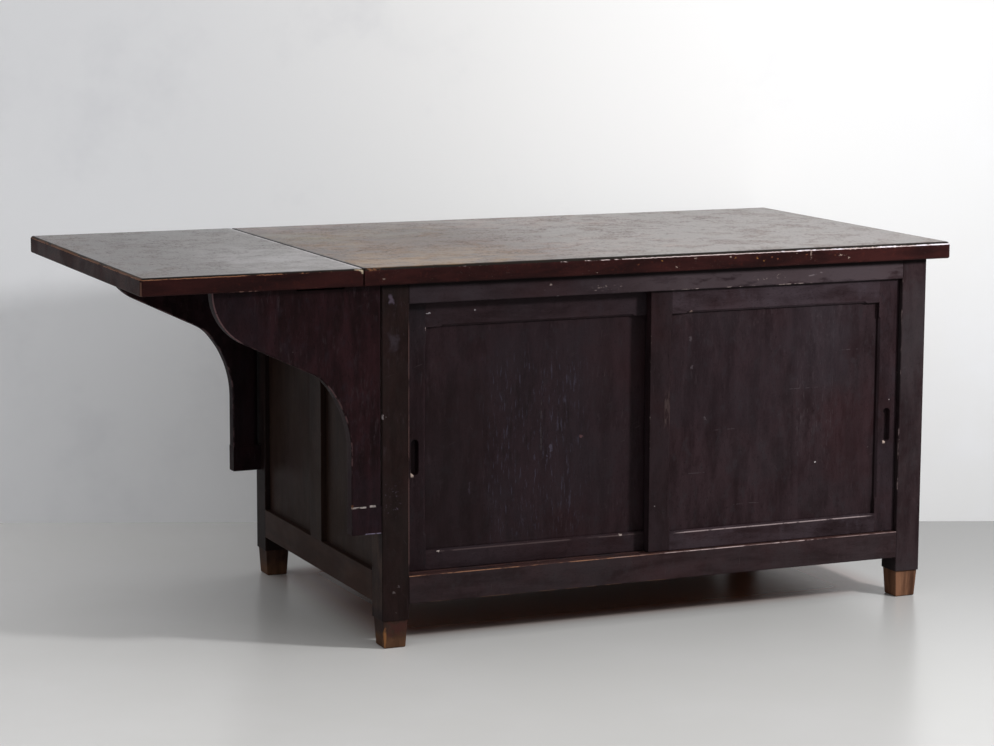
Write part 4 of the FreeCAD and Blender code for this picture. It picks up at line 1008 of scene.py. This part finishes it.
@dataclass
class SlidingDoor:
    """One framed door.

    Attributes:
        side: Which door, left or right.
        face: Place of its front face.
        span: Its lowest and highest place along X.
        stile_tones: What the finish of its stiles has of its own.
        rail_tones: What the finish of its rails has of its own.
        panel_tones: What the finish of its panel has of its own.
        seed: Moves the patterns of its finishes.
        stile: Width of a stile.
        recess: How far the middle of the finger recess lies from the door's outer edge.
        chamfer: Height of the chamfer on the bottom rail.
    """

    side: str
    face: float
    span: Pair
    stile_tones: dict[str, object]
    rail_tones: dict[str, object]
    panel_tones: dict[str, object]
    seed: float
    stile: float = 0.05
    recess: float = 0.025
    chamfer: float = 0.1897

    def dress(self, effects: Effects) -> None:
        """Dresses the door's five pieces.

        Args:
            effects: The shared effects.
        """
        left = self.side == "left"
        stile = OldFinish(self.side + "_door_stile_polish", seed=(self.seed, 2.0, 3.0),
                          places=self._left_stiles() if left else self._right_stiles(), **self.stile_tones)
        rail = OldFinish(self.side + "_door_rail_polish", Grain.ALONG_X, seed=(self.seed, 4.0, 1.0),
                         deep=srgb(29, 20, 22), places=self._left_rails() if left else self._right_rails(),
                         **self.rail_tones)
        panel = OldFinish(self.side + "_door_panel_polish", seed=(self.seed, 1.0, 7.0), red_amount=0.16,
                          haze_amount=0.35, scratch_amount=0.3, flecks=0.5,
                          places=self._left_panel() if left else self._right_panel(), **self.panel_tones)
        for finish, pieces in ((stile, ("outer_stile", "inner_stile")), (rail, ("top_rail", "bottom_rail")),
                               (panel, ("panel",))):
            dress([f"{self.side}_door_{piece}" for piece in pieces], finish.material(effects))

    def _recess_lip(self, recess: float) -> WornPlace:
        """Returns the pale worn lip of the finger recess.

        Args:
            recess: Middle of the recess along X.

        Returns:
            The worn place.
        """
        return Front.at(self.face, 0.006).worn(
            (recess - 0.008, recess - 0.003), (0.355, 0.366), srgb(168, 150, 140), 0.85, 0.2, 90.0,
            (0.0015, 0.002, 0.005))

    def _left_stiles(self) -> tuple[WornPlace, ...]:
        """Gives the wear of the left door's stiles: its recess and one chip.

        Returns:
            The worn places.
        """
        face = Front.at(self.face, 0.003)
        return (self._recess_lip(self.span[0] + self.recess),
                face.mark((-0.3006, -0.3002), (0.656, 0.665), srgb(150, 132, 132)))

    def _right_stiles(self) -> tuple[WornPlace, ...]:
        """Gives the right door's stiles their painted shade on the one that meets the other door, its worn arris and
        streak, and its recess.

        Returns:
            The worn places.
        """
        face, x = Front.at(self.face, 0.003), self.span[0]
        # Painted shade: the stile that meets the other door is darkened across its width.
        return (face.worn((x, x + 0.046), (0.15, 0.72), srgb(20, 13, 13), 0.34, 0.0, soft=(0.03, 0.002, 0.01)),
                face.worn((x - 0.001, x + 0.0012), (0.4, 0.68), srgb(150, 138, 132), 0.85, 0.72, 70.0,
                          (0.0005, 0.001, 0.05)),
                face.worn((x + 0.037, x + 0.047), (0.43, 0.48), srgb(76, 64, 62), 0.35, 0.4, 90.0,
                          (0.004, 0.002, 0.03), (1.0, 1.0, 0.3)),
                self._recess_lip(self.span[1] - self.recess))

    def _rails(self) -> tuple[Front, Front, Pair, float]:
        """Returns the rails' face, the face down to their chamfer, the span of the panel and the chamfer's height."""
        span = (self.span[0] + self.stile, self.span[1] - self.stile)
        return Front.at(self.face, 0.0012), Front.at(self.face, 0.0042), span, self.chamfer

    def _left_rails(self) -> tuple[WornPlace, ...]:
        """Gives the wear of the left door's rails: the lower one's chamfer, and chips of the upper one.

        Returns:
            The worn places.
        """
        face, deep, (low, high), z = self._rails()
        white = srgb(182, 176, 180)
        return (face.worn((low + 0.03, high - 0.03), (z - 0.0006, z + 0.0012), srgb(74, 62, 62), 0.6, 0.3, 40.0,
                          (0.03, 0.001, 0.001), (0.3, 1.0, 1.0)),
                deep.mark((-0.276, -0.269), (z + 0.0005, z + 0.002), srgb(190, 176, 170), 0.8),
                deep.mark((0.15, 0.156), (z, z + 0.002), srgb(170, 156, 150)),
                face.mark((-0.299, -0.292), (0.693, 0.6936), white),
                face.mark((-0.1925, -0.1905), (0.6945, 0.6965), white, 0.55))

    def _right_rails(self) -> tuple[WornPlace, ...]:
        """Gives the wear of the right door's rails: the lower one's pale chamfer, and one chip of the upper one.

        Returns:
            The worn places.
        """
        face, deep, (low, high), z = self._rails()
        return (face.worn((low + 0.035, high - 0.03), (z - 0.0006, z + 0.0011), srgb(142, 128, 128), 0.7, 0.22, 55.0,
                          (0.03, 0.0008, 0.0005), (0.4, 1.0, 1.0)),
                deep.mark((0.3, 0.306), (0.6695, 0.671), srgb(150, 128, 118)))

    def _panel_face(self) -> Front:
        """Returns the face of the panel, which lies behind that of the frame."""
        return Front(self.face + 0.003, self.face + 0.014)

    def _left_panel(self) -> tuple[WornPlace, ...]:
        """Gives dulled, dark and scratched areas of the left panel.

        Returns:
            The worn places.
        """
        face, wide = self._panel_face(), (0.05, 0.004, 0.07)
        cloudy = {"soft": wide, "drift": (0.16, 0.0, 0.16)}
        dark = srgb(21, 16, 16)
        return (face.worn((-0.12, 0.06), (0.3, 0.62), srgb(32, 27, 31), 0.3, 0.0, **cloudy),
                face.worn((-0.14, 0.04), (0.24, 0.56), srgb(56, 53, 64), 0.5, 0.68, 260.0, wide, (1.0, 1.0, 0.12)),
                face.mark((-0.1985, -0.1975), (0.305, 0.33), srgb(66, 58, 68), 0.4),
                face.mark((-0.02, -0.018), (0.372, 0.376), srgb(76, 70, 84), 0.5),
                face.worn((-0.29, -0.18), (0.2, 0.5), dark, 0.35, 0.0, **cloudy),
                face.worn((-0.0334, -0.0326), (0.38, 0.48), srgb(66, 62, 64), 0.6, 0.3, 60.0, (0.0007, 0.004, 0.02),
                          drift=(0.003, 0.0, 0.0)),
                face.worn((-0.12, 0.02), (0.4, 0.56), dark, 0.5, 0.62, 150.0, wide, (1.0, 1.0, 0.15)),
                face.mark((-0.012, -0.008), (0.383, 0.397), srgb(70, 66, 78), 0.5),
                face.mark((0.059, 0.063), (0.409, 0.412), srgb(84, 60, 62)))

    def _right_panel(self) -> tuple[WornPlace, ...]:
        """Gives reddened, dulled and scratched areas of the right panel.

        Returns:
            The worn places.
        """
        face, wide, fleck = self._panel_face(), (0.05, 0.004, 0.07), srgb(64, 57, 60)
        cloudy = {"soft": wide, "drift": (0.16, 0.0, 0.16)}
        chips = tuple(face.mark(x, z, colour, strength) for x, z, colour, strength in (
            ((0.309, 0.313), (0.545, 0.552), fleck, 0.7), ((0.305, 0.309), (0.606, 0.614), fleck, 0.7),
            ((0.342, 0.346), (0.432, 0.438), fleck, 0.7), ((0.618, 0.62), (0.319, 0.321), srgb(190, 184, 184), 0.9)))
        lines = tuple(face.worn((x0, x1), (z, z + 0.0006), fleck, 0.6, 0.3, 60.0, (0.006, 0.004, 0.0008),
                                drift=(0.0, 0.0, 0.006))
                      for x0, x1, z in ((0.309, 0.344, 0.316), (0.369, 0.414, 0.407), (0.679, 0.719, 0.565),
                                        (0.554, 0.619, 0.486), (0.42, 0.48, 0.24)))
        return (face.worn((0.67, 0.74), (0.3, 0.44), srgb(44, 20, 21), 0.2, 0.0, **cloudy),
                face.worn((0.61, 0.67), (0.6, 0.68), srgb(60, 52, 56), 0.4, 0.3, 60.0, (0.03, 0.004, 0.04),
                          (1.0, 1.0, 0.3), fade=0.3),
                face.worn((0.28, 0.5), (0.6, 0.665), srgb(62, 52, 54), 0.35, 0.58, 240.0, (0.03, 0.004, 0.02),
                          (1.0, 1.0, 0.2), fade=0.2),
                face.worn((0.58, 0.65), (0.36, 0.6), fleck, 0.4, 0.68, 300.0, (0.03, 0.004, 0.05), (1.0, 1.0, 0.12)),
                face.worn((0.56, 0.66), (0.52, 0.66), srgb(38, 33, 37), 0.4, 0.0, **cloudy),
                face.worn((0.6, 0.66), (0.54, 0.65), fleck, 0.3, 0.7, 240.0, (0.03, 0.004, 0.03), (1.0, 1.0, 0.3)),
                face.worn((0.27, 0.5), (0.45, 0.62), srgb(32, 27, 31), 0.25, 0.0, **cloudy)) + chips + lines


def doors() -> tuple[SlidingDoor, SlidingDoor]:
    """Makes the two doors: the left one in the rear track, and the duller, more worn right one before it.

    Returns:
        The left door and the right door.
    """
    left = SlidingDoor("left", -0.364, (-0.35, 0.261), seed=0.0,
                       stile_tones={"light": srgb(37, 27, 30), "haze": srgb(32, 30, 33), "chip_share": 0.03},
                       rail_tones={"light": srgb(42, 32, 35), "haze": srgb(41, 35, 39)},
                       panel_tones={"light": srgb(38, 27, 30), "haze": srgb(35, 31, 34)})
    right = SlidingDoor("right", -0.388, (0.207, 0.818), seed=6.0,
                        stile_tones={"light": srgb(43, 32, 35), "haze": srgb(40, 35, 39), "chip_share": 0.1},
                        rail_tones={"light": srgb(50, 41, 45), "haze": srgb(53, 46, 51)},
                        panel_tones={"light": srgb(42, 31, 34), "haze": srgb(40, 36, 39)})
    return left, right


def level_place(x: Pair, y: Pair, colour: Colour, strength: float, broken: float, scale: float, soft: Pair,
                drift: Pair, stretch: Triple, fade: float) -> WornPlace:
    """Makes a worn area of a level face, thin enough to leave the rounded arrises alone.

    Args:
        x: Its lowest and highest place along X.
        y: Its lowest and highest place along Y.
        colour: What shows there.
        strength: How fully it shows.
        broken: Share of it that stays covered.
        scale: Size of the breaks, larger is finer.
        soft: How far its sides fade out along X and Y.
        drift: How far its sides wander along X and Y.
        stretch: How the breaks are drawn out along each axis.
        fade: How softly the breaks start.

    Returns:
        The worn place.
    """
    low, high = FACE_HEIGHT - FACE_REACH, FACE_HEIGHT + FACE_REACH
    return WornPlace((x[0], y[0], low), (x[1], y[1], high), colour, strength, broken, scale, (*soft, FACE_FADE),
                     stretch, (*drift, 0.0), fade=fade)


@dataclass
class TableTop:
    """The main board of the top.

    Attributes:
        span: Its lowest and highest place along X.
        front: Place of its front edge.
    """

    span: Pair = (-0.458, 0.926)
    front: float = -0.426

    def dress(self, effects: Effects) -> None:
        """Dresses the board.

        Args:
            effects: The shared effects.
        """
        x_low, x_high = self.span
        finish = TopFinish("main_top_polish", Grain.ALONG_X, Facing.Z, seed=(1.0, 2.0, 0.0),
                           deep=srgb(50, 36, 30), light=srgb(101, 81, 70), outer=(x_low - 0.02, x_high),
                           haze=srgb(114, 103, 101), haze_amount=0.55, wear=0.22, bare=srgb(120, 92, 84),
                           tan=srgb(130, 98, 68), tan_amount=0.8, grey=srgb(156, 142, 140), grey_amount=0.5,
                           dark=srgb(24, 16, 13), dark_amount=0.6, line=srgb(178, 162, 160), line_half=0.0004,
                           scratch=srgb(150, 140, 134), scratch_amount=0.6, roughness=0.45, chip_share=0.1,
                           chip=srgb(150, 124, 108),
                           places=self._worn_areas() + self._worn_arrises() + self._small_knocks())
        dress(["main_top"], finish.material(effects))

    @staticmethod
    def _worn_areas() -> tuple[WornPlace, ...]:
        """Gives the tan and brown areas of the level face, worn through near the joint.

        Returns:
            The worn places.
        """
        ochre, brown, pink, moss = srgb(134, 106, 76), srgb(76, 52, 38), srgb(140, 108, 96), srgb(110, 108, 94)
        areas = (((-0.4, -0.13), (-0.34, -0.2), ochre, 0.85, 0.2), ((-0.35, -0.27), (0.0, 0.15), ochre, 0.75, 0.25),
                 ((-0.44, -0.3), (-0.41, -0.36), ochre, 0.75, 0.1), ((-0.22, -0.09), (-0.02, 0.08), brown, 0.65, 0.1),
                 ((-0.3, -0.2), (-0.2, -0.1), brown, 0.5, 0.3), ((-0.42, 0.4), (0.26, 0.4), pink, 0.45, 0.3),
                 ((-0.42, -0.38), (0.1, 0.2), moss, 0.6, 0.1), ((-0.18, -0.1), (0.16, 0.26), moss, 0.5, 0.2),
                 ((0.0, 0.3), (-0.3, -0.1), pink, 0.4, 0.35))
        return tuple(level_place(x, y, colour, strength, broken, 24.0, (0.14, 0.12), (0.2, 0.2), (0.6, 1.0, 1.0), 0.26)
                     for x, y, colour, strength, broken in areas)

    def _worn_arrises(self) -> tuple[WornPlace, ...]:
        """Gives the broken painted highlight along the front arris near the right end, pale knocks below it, worn wood
        at its left end and the dark joint.

        Returns:
            The worn places.
        """
        near, y = self.front - 0.001, self.front
        cream = srgb(158, 138, 128)
        # Painted highlight: a broken pale line along the front arris toward the right end.
        return (WornPlace((0.68, near, 0.793), (0.79, y + 0.004, 0.7965), srgb(186, 168, 158), 0.8, 0.6, 150.0,
                          (0.03, 0.001, 0.001)),
                WornPlace((0.5, near, 0.7944), (0.9, y + 0.006, 0.796), srgb(206, 200, 208), 0.85, 0.42, 50.0,
                          (0.05, 0.002, 0.0008), (0.4, 1.0, 1.0)),
                WornPlace((0.5705, near, 0.78), (0.573, y + 0.003, 0.792), cream, 0.55, 0.4, 120.0,
                          (0.001, 0.002, 0.003)),
                WornPlace((0.636, near, 0.7815), (0.656, y + 0.003, 0.7855), cream, 0.8, 0.62, 190.0,
                          (0.004, 0.002, 0.002)),
                WornPlace((-0.457, near, 0.7945), (-0.43, y + 0.006, 0.7985), srgb(118, 78, 54), 0.7, 0.3, 90.0,
                          (0.01, 0.002, 0.001)),
                WornPlace((-0.459, -0.43, 0.7975), (-0.4525, 0.43, 0.801), srgb(22, 14, 12), 0.95, 0.0,
                          soft=(0.0012, 0.01, 0.001), drift=(0.002, 0.0, 0.0), drift_scale=60.0))

    def _small_knocks(self) -> tuple[WornPlace, ...]:
        """Gives the small knocks of the front edge.

        Returns:
            The worn places.
        """
        face = Front.at(self.front, 0.003)
        cream, tan, ochre = srgb(158, 138, 128), srgb(112, 66, 46), srgb(150, 104, 56)
        places = ((cream, ((-0.417, 0.777), (0.245, 0.772), (0.29, 0.789), (0.665, 0.775), (0.06, 0.768),
                           (0.374, 0.789), (0.536, 0.79))),
                  (tan, ((0.475, 0.785), (0.49, 0.78), (0.155, 0.781), (0.56, 0.786), (0.63, 0.783))),
                  (ochre, ((0.439, 0.784), (0.456, 0.777), (0.386, 0.786), (0.212, 0.787))))
        return tuple(face.mark((x, x + 0.002), (z, z + 0.0008), colour) for colour, spots in places for x, z in spots)


@dataclass
class Leaf:
    """The hinged leaf.

    Attributes:
        span: Its lowest and highest place along X.
    """

    span: Pair = (-0.926, -0.461)

    def dress(self, effects: Effects) -> None:
        """Dresses the leaf's board.

        Args:
            effects: The shared effects.
        """
        x_low, x_high = self.span
        places = self._worn_areas() + self._free_end() + self._joint()
        finish = TopFinish("leaf_polish", Grain.ALONG_X, Facing.Z, seed=(4.0, 0.0, 2.0), rim=0.007,
                           deep=srgb(46, 38, 36), light=srgb(78, 70, 66), outer=(x_low, x_high + 0.02),
                           haze=srgb(102, 94, 90), haze_amount=0.6, wear=0.26, tan_middle=(x_low, 0.0, 0.8),
                           tan=srgb(110, 84, 62), tan_reach=(0.0, 0.4, 0.1), tan_amount=0.25, grey_amount=0.2,
                           dark=srgb(24, 20, 20), dark_amount=0.4, bare=srgb(118, 86, 76),
                           scratch=srgb(120, 114, 110), roughness=0.45, film=1.28, film_gap=0.5, film_lost=0.15,
                           line=srgb(130, 90, 68), line_height=0.7962, line_half=0.0004, line_from=x_low,
                           line_to=x_high, line_gaps=(0.4, 0.52), places=places)
        dress(["leaf"], finish.material(effects))

    def _worn_areas(self) -> tuple[WornPlace, ...]:
        """Gives the painted sheen on the level face by the joint, and two brown worn areas further out.

        Returns:
            The worn places.
        """
        x, along = self.span[1], (0.5, 1.0, 1.0)
        # Painted sheen: a lighter grey area at the front of the level face by the joint.
        return (level_place((x - 0.17, x), (-0.38, -0.1), srgb(140, 135, 136), 0.8, 0.05, 16.0, (0.14, 0.2),
                            (0.12, 0.12), along, 0.3),
                level_place((x - 0.36, x - 0.28), (-0.1, 0.2), srgb(58, 48, 46), 0.6, 0.3, 24.0, (0.08, 0.12),
                            (0.2, 0.2), along, 0.3),
                level_place((x - 0.3, x - 0.22), (-0.32, -0.2), srgb(74, 56, 50), 0.6, 0.3, 24.0, (0.08, 0.1),
                            (0.2, 0.2), along, 0.3))

    def _free_end(self) -> tuple[WornPlace, ...]:
        """Gives the worn arrises of the free end, and a rubbed place of the lower front arris.

        Returns:
            The worn places.
        """
        x = self.span[0]
        return (WornPlace((x, -0.43, 0.7965), (x + 0.003, 0.43, 0.7985), srgb(108, 74, 54), 0.7, 0.3, 60.0,
                          (0.0015, 0.01, 0.001), (1.0, 0.3, 1.0)),
                WornPlace((x, -0.4245, 0.766), (x + 0.0045, -0.422, 0.79), srgb(104, 76, 66), 0.7, 0.3, 60.0,
                          (0.001, 0.001, 0.004)),
                WornPlace((x + 0.2, -0.43, 0.7636), (x + 0.24, -0.42, 0.765), srgb(130, 98, 90), 0.7, 0.4, 80.0,
                          (0.02, 0.001, 0.0008)))

    def _joint(self) -> tuple[WornPlace, ...]:
        """Gives the dark arris at the joint, the pale line beside it and the pale worn corner at the front.

        Returns:
            The worn places.
        """
        x, cream = self.span[1], srgb(196, 180, 156)
        corner = tuple(WornPlace((x - x0, -0.4275, z0), (x - x1, -0.4215, z1), cream, strength, 0.0,
                                 soft=(0.003, 0.0014, 0.0014))
                       for x0, x1, z0, z1, strength in ((0.017, 0.009, 0.7976, 0.7984, 0.45),
                                                        (0.008, 0.004, 0.796, 0.7972, 0.6),
                                                        (0.004, 0.001, 0.7935, 0.796, 0.6),
                                                        (0.002, 0.0, 0.79, 0.7925, 0.45)))
        return (WornPlace((x - 0.0016, -0.424, 0.7985), (x + 0.001, 0.43, 0.801), srgb(20, 13, 12), 0.9, 0.0,
                          soft=(0.0008, 0.004, 0.001)),
                WornPlace((x - 0.008, -0.42, 0.7996), (x - 0.003, 0.43, 0.8004), srgb(200, 193, 196), 0.5, 0.15, 40.0,
                          (0.001, 0.01, 0.0004), (1.0, 0.3, 1.0))) + corner


@dataclass
class Brackets:
    """The two swinging brackets with their blocks.

    Attributes:
        front_edge: Rounded arris of the front bracket's shaped edge.
        front_face: Faces of the front bracket and its block that look to the front.
        rear_edge: Rounded arris of the rear bracket's shaped edge.
    """

    front_edge: Front = Front(-0.3973, -0.3955)
    front_face: Front = Front(-0.3985, -0.394)
    rear_edge: Front = Front(0.3685, 0.3712)

    def dress(self, effects: Effects) -> None:
        """Dresses the brackets and their blocks.

        Args:
            effects: The shared effects.
        """
        for index, (side, places) in enumerate((("front", self._front_places()), ("rear", self._rear_places()))):
            finish = OldFinish("bracket_polish_" + side, Grain.ALONG_Z, seed=(1.0, 3.0 * index, 5.0),
                               deep=srgb(18, 8, 9), light=srgb(36, 19, 22), haze=srgb(32, 25, 30), wear=0.2,
                               places=places)
            dress(["bracket_" + side, "bracket_block_" + side], finish.material(effects))

    def _rear_places(self) -> tuple[WornPlace, ...]:
        """Returns the rubbed line along the rear bracket's shaped edge."""
        return (self.rear_edge.worn((-0.775, -0.48), (0.3, 0.76), srgb(112, 86, 88), 0.5, 0.4, 40.0,
                                    (0.01, 0.0006, 0.01)),)

    def _front_places(self) -> tuple[WornPlace, ...]:
        """Gives the rubbed line along the front bracket's shaped edge, the painted highlight on the block's upper arris
        and a pale line at its lower arris.

        Returns:
            The worn places.
        """
        edge, face = self.front_edge, self.front_face
        pink, pale = srgb(112, 86, 88), srgb(176, 166, 162)
        return (edge.worn((-0.775, -0.72), (0.64, 0.758), pink, 0.85, 0.15, 40.0, (0.02, 0.0007, 0.03)),
                edge.worn((-0.7, -0.58), (0.56, 0.66), srgb(70, 48, 50), 0.5, 0.4, 40.0, (0.02, 0.0007, 0.03)),
                edge.worn((-0.54, -0.48), (0.4, 0.56), pink, 0.5, 0.4, 40.0, (0.03, 0.0007, 0.03)),
                # Painted highlight: a broken pale line along the block's upper arris.
                face.worn((-0.476, -0.447), (0.3022, 0.3048), pale, 0.85, 0.25, 90.0, (0.003, 0.001, 0.0006)),
                face.worn((-0.436, -0.426), (0.3032, 0.3062), pale, 0.8, 0.2, 90.0, (0.003, 0.001, 0.001)),
                face.worn((-0.445, -0.415), (0.2455, 0.2478), srgb(112, 104, 122), 0.8, 0.2, 60.0,
                          (0.004, 0.001, 0.0008)),
                face.mark((-0.478, -0.474), (0.303, 0.309), srgb(110, 72, 50)))


@dataclass
class HiddenWood:
    """Floor, shelf, cleats and buttons inside the cabinet.

    Attributes:
        pieces: The names of their nodes.
    """

    pieces: tuple[str, ...] = ("floor_board_front", "floor_board_middle", "floor_board_rear", "floor_bearer_left",
                               "floor_bearer_centre", "floor_bearer_right", "shelf", "shelf_cleat_left",
                               "shelf_cleat_right", "shelf_cleat_back", "top_buttons")

    def dress(self, effects: Effects) -> None:
        """Dresses the unpolished wood.

        Args:
            effects: The shared effects.
        """
        finish = OldFinish("plain_old_wood", Grain.ALONG_X, Facing.Z, deep=srgb(104, 76, 52), grime=srgb(120, 94, 70),
                           light=srgb(136, 104, 74), haze=srgb(92, 76, 62), red=srgb(96, 62, 40),
                           bare=srgb(160, 128, 96), rub=srgb(120, 92, 66), scratch=srgb(84, 64, 48), roughness=0.68,
                           gloss=0.2, seed=(5.0, 5.0, 5.0))
        dress(list(self.pieces), finish.material(effects))


@dataclass
class Ironwork:
    """Hinges, pins and screws.

    Attributes:
        pieces: The names of their nodes.
    """

    pieces: tuple[str, ...] = ("hinge_fixed_plates", "hinge_moving_plates", "hinge_pins", "hinge_fixed_screws",
                               "hinge_moving_screws", "top_button_screws", "bracket_pins_front", "bracket_pins_rear")

    def dress(self, effects: Effects) -> None:
        """Dresses the steel."""
        dress(list(self.pieces), SteelFinish().material(effects))


@dataclass
class Studio:
    """Pale floor and wall, plain soft light, and the camera.

    Attributes:
        wall_start: Left point of the wall's foot.
        wall_end: Right point of the wall's foot.
        wall_height: Height of the wall.
        wall_overrun: How far the wall runs on past both points.
        floor_side: Length of the floor's sides.
        shadow_patch_middle: Middle of the painted warm shadow on the floor under the table.
        lamp_place: Place of the main lamp.
        lamp_aim: What it points at.
        lamp_side: Side of the main lamp.
        lamp_power: Its power in watts.
        low_fill: Strength of the light from the horizon and below.
        high_fill: Strength of the light from overhead.
        seen_air: Brightness of the background.
        camera_place: Place of the camera.
        camera_turn: Its turn about the upright, its tilt and its roll, in radians.
        focal_pixels: Focal length in pixels of the picture.
        picture_width: Width of that picture in pixels.
        sensor_width: Width of the camera's sensor in millimetres.
    """

    wall_start: Pair = (-0.830, 1.164)
    wall_end: Pair = (1.488, 0.236)
    wall_height: float = 3.4
    wall_overrun: float = 4.0
    floor_side: float = 14.0
    shadow_patch_middle: Triple = (0.23, 0.04, 0.0)
    lamp_place: Triple = (1.66, -1.87, 1.5)
    lamp_aim: Triple = (0.0, 0.1, 0.45)
    lamp_side: float = 0.3
    lamp_power: float = 61.0
    low_fill: float = 0.28
    high_fill: float = 0.9
    seen_air: float = 0.86
    camera_place: Triple = (-2.50695, -5.78434, 1.47447)
    camera_turn: Triple = (-0.411823, -0.153434, 0.004365)
    focal_pixels: float = 2864.57
    picture_width: float = 994.0
    sensor_width: float = 36.0

    def build(self) -> None:
        """Builds all of it."""
        self._floor()
        self._wall()
        self._light()
        self._camera()

    def _plane(self, name: str, corners: list[Triple]) -> bpy.types.Object:
        """Makes a flat piece of the studio.

        Args:
            name: Its name.
            corners: Its four corners, in order.

        Returns:
            The piece.
        """
        mesh = bpy.data.meshes.new(name)
        mesh.from_pydata(corners, [], [(0, 1, 2, 3)])
        piece = bpy.data.objects.new(name, mesh)
        bpy.context.scene.collection.objects.link(piece)
        return piece

    def _floor(self) -> None:
        """Lays the pale, slightly glossy floor, with painted shade toward the right and a painted shadow under the
        table.
        """
        half = self.floor_side / 2
        floor = self._plane("studio_floor", [(-half, -half, 0), (half, -half, 0), (half, half, 0), (-half, half, 0)])
        made = bpy.data.materials.new("pale_floor")
        made.use_nodes = True
        w = Wiring(made.node_tree)
        shader = made.node_tree.nodes["Principled BSDF"]
        place = w.add("TexCoord").outputs["Object"]
        cloud = w.noise(place, 1.6, 4.0, 0.6)
        colour = w.mix(w.ramp(cloud, 0.35, 0.7), srgb(219, 218, 216), srgb(223, 222, 221))
        # Painted shade: the floor darkens toward the right, evening out the lamp's stronger light there.
        colour = w.mix(w.ramp(w.parts(place)[0], -1.2, 1.6), colour, srgb(150, 150, 149))
        # Painted shadow: a warm dark patch on the floor under the table.
        across, deep, _ = w.parts(w.vector("ABSOLUTE", w.vector("SUBTRACT", place, self.shadow_patch_middle)))
        under = w.times(w.ramp(across, 0.68, 0.5), w.ramp(deep, 0.4, 0.28))
        w.feed(shader.inputs["Base Color"], w.mix(under, colour, srgb(118, 70, 54)))
        shader.inputs["Roughness"].default_value = 0.25
        shader.inputs["Specular IOR Level"].default_value = 0.38
        floor.data.materials.append(made)

    def _wall(self) -> None:
        """Raises the pale wall behind the table, seen from its front side only; its colour is painted lighter toward
        the middle and darker toward the right, reshaping the lamp's light across it.
        """
        start = Vector((*self.wall_start, 0.0))
        end = Vector((*self.wall_end, 0.0))
        along = (end - start).normalized()
        left = start - along * self.wall_overrun
        right = end + along * self.wall_overrun
        up = Vector((0.0, 0.0, self.wall_height))
        wall = self._plane("studio_wall", [tuple(left), tuple(right), tuple(right + up), tuple(left + up)])
        made = bpy.data.materials.new("pale_wall")
        made.use_nodes = True
        w = Wiring(made.node_tree)
        shader = made.node_tree.nodes["Principled BSDF"]
        place = w.add("TexCoord").outputs["Object"]
        across = w.parts(place)[0]
        cloud = w.noise(place, 2.2, 5.0, 0.65)
        # Painted light and shade: lighter toward the middle, darker toward the right.
        pale = w.mix(w.ramp(across, -0.7, 0.4), srgb(245, 246, 249), srgb(255, 255, 255))
        colour = w.mix(w.ramp(across, 0.4, 1.9), pale, srgb(208, 208, 209))
        colour = w.mix(w.ramp(cloud, 0.5, 0.75, 0.0, 0.35), colour, srgb(226, 227, 232))
        w.feed(shader.inputs["Base Color"], colour)
        shader.inputs["Roughness"].default_value = 0.8
        shader.inputs["Specular IOR Level"].default_value = 0.2
        output = made.node_tree.nodes["Material Output"]
        back = w.add("NewGeometry").outputs["Backfacing"]
        clear = w.add("BsdfTransparent")
        both = w.add("MixShader", None, {0: back, 1: shader.outputs[0], 2: clear.outputs[0]})
        w.feed(output.inputs["Surface"], both.outputs[0])
        wall.data.materials.append(made)

    def _light(self) -> None:
        """Hangs the main lamp, which makes no mirror image of itself, and sets the light from all round."""
        lamp = bpy.data.lights.new("main_lamp", "AREA")
        lamp.shape = "DISK"
        lamp.size = self.lamp_side
        lamp.energy = self.lamp_power
        holder = bpy.data.objects.new("main_lamp", lamp)
        holder.location = self.lamp_place
        aim = Vector(self.lamp_aim) - Vector(self.lamp_place)
        holder.rotation_euler = aim.to_track_quat("-Z", "Y").to_euler()
        holder.visible_glossy = False
        bpy.context.scene.collection.objects.link(holder)
        world = bpy.data.worlds.new("studio_air")
        world.use_nodes = True
        bpy.context.scene.world = world
        w = Wiring(world.node_tree)
        background = world.node_tree.nodes["Background"]
        background.inputs["Color"].default_value = (1.0, 1.0, 1.0, 1.0)
        path = w.add("LightPath").outputs
        seen = w.math("MAXIMUM", path["Is Camera Ray"], path["Is Glossy Ray"])
        seen = w.math("MAXIMUM", seen, path["Is Transmission Ray"])
        height = w.parts(w.add("TexCoord").outputs["Generated"])[2]
        air = w.ramp(height, 0.0, 0.8, self.low_fill, self.high_fill)
        w.feed(background.inputs["Strength"], w.blend(seen, air, self.seen_air))

    def _camera(self) -> None:
        """Places the camera at the photograph's viewing angle."""
        yaw, pitch, roll = self.camera_turn
        ahead = Vector((-math.sin(yaw) * math.cos(pitch), math.cos(yaw) * math.cos(pitch), math.sin(pitch)))
        level = Vector((math.cos(yaw), math.sin(yaw), 0.0))
        upright = level.cross(ahead)
        right = math.cos(roll) * level + math.sin(roll) * upright
        up = -math.sin(roll) * level + math.cos(roll) * upright
        camera = bpy.data.cameras.new("camera")
        camera.sensor_width = self.sensor_width
        camera.lens = self.focal_pixels / self.picture_width * self.sensor_width
        camera.clip_end = 60.0
        holder = bpy.data.objects.new("camera", camera)
        turn = Matrix((right, up, -ahead)).transposed().to_4x4()
        holder.matrix_world = Matrix.Translation(self.camera_place) @ turn
        bpy.context.scene.collection.objects.link(holder)
        bpy.context.scene.camera = holder


def main() -> None:
    """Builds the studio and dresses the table."""
    bpy.ops.object.select_all(action="DESELECT")
    bpy.context.scene.view_settings.view_transform = "Standard"
    Studio().build()
    effects = Effects()
    for piece in (Cabinet(), *doors(), TableTop(), Leaf(), Brackets(), HiddenWood(), Ironwork()):
        piece.dress(effects)


if __name__ == "__main__":
    main()
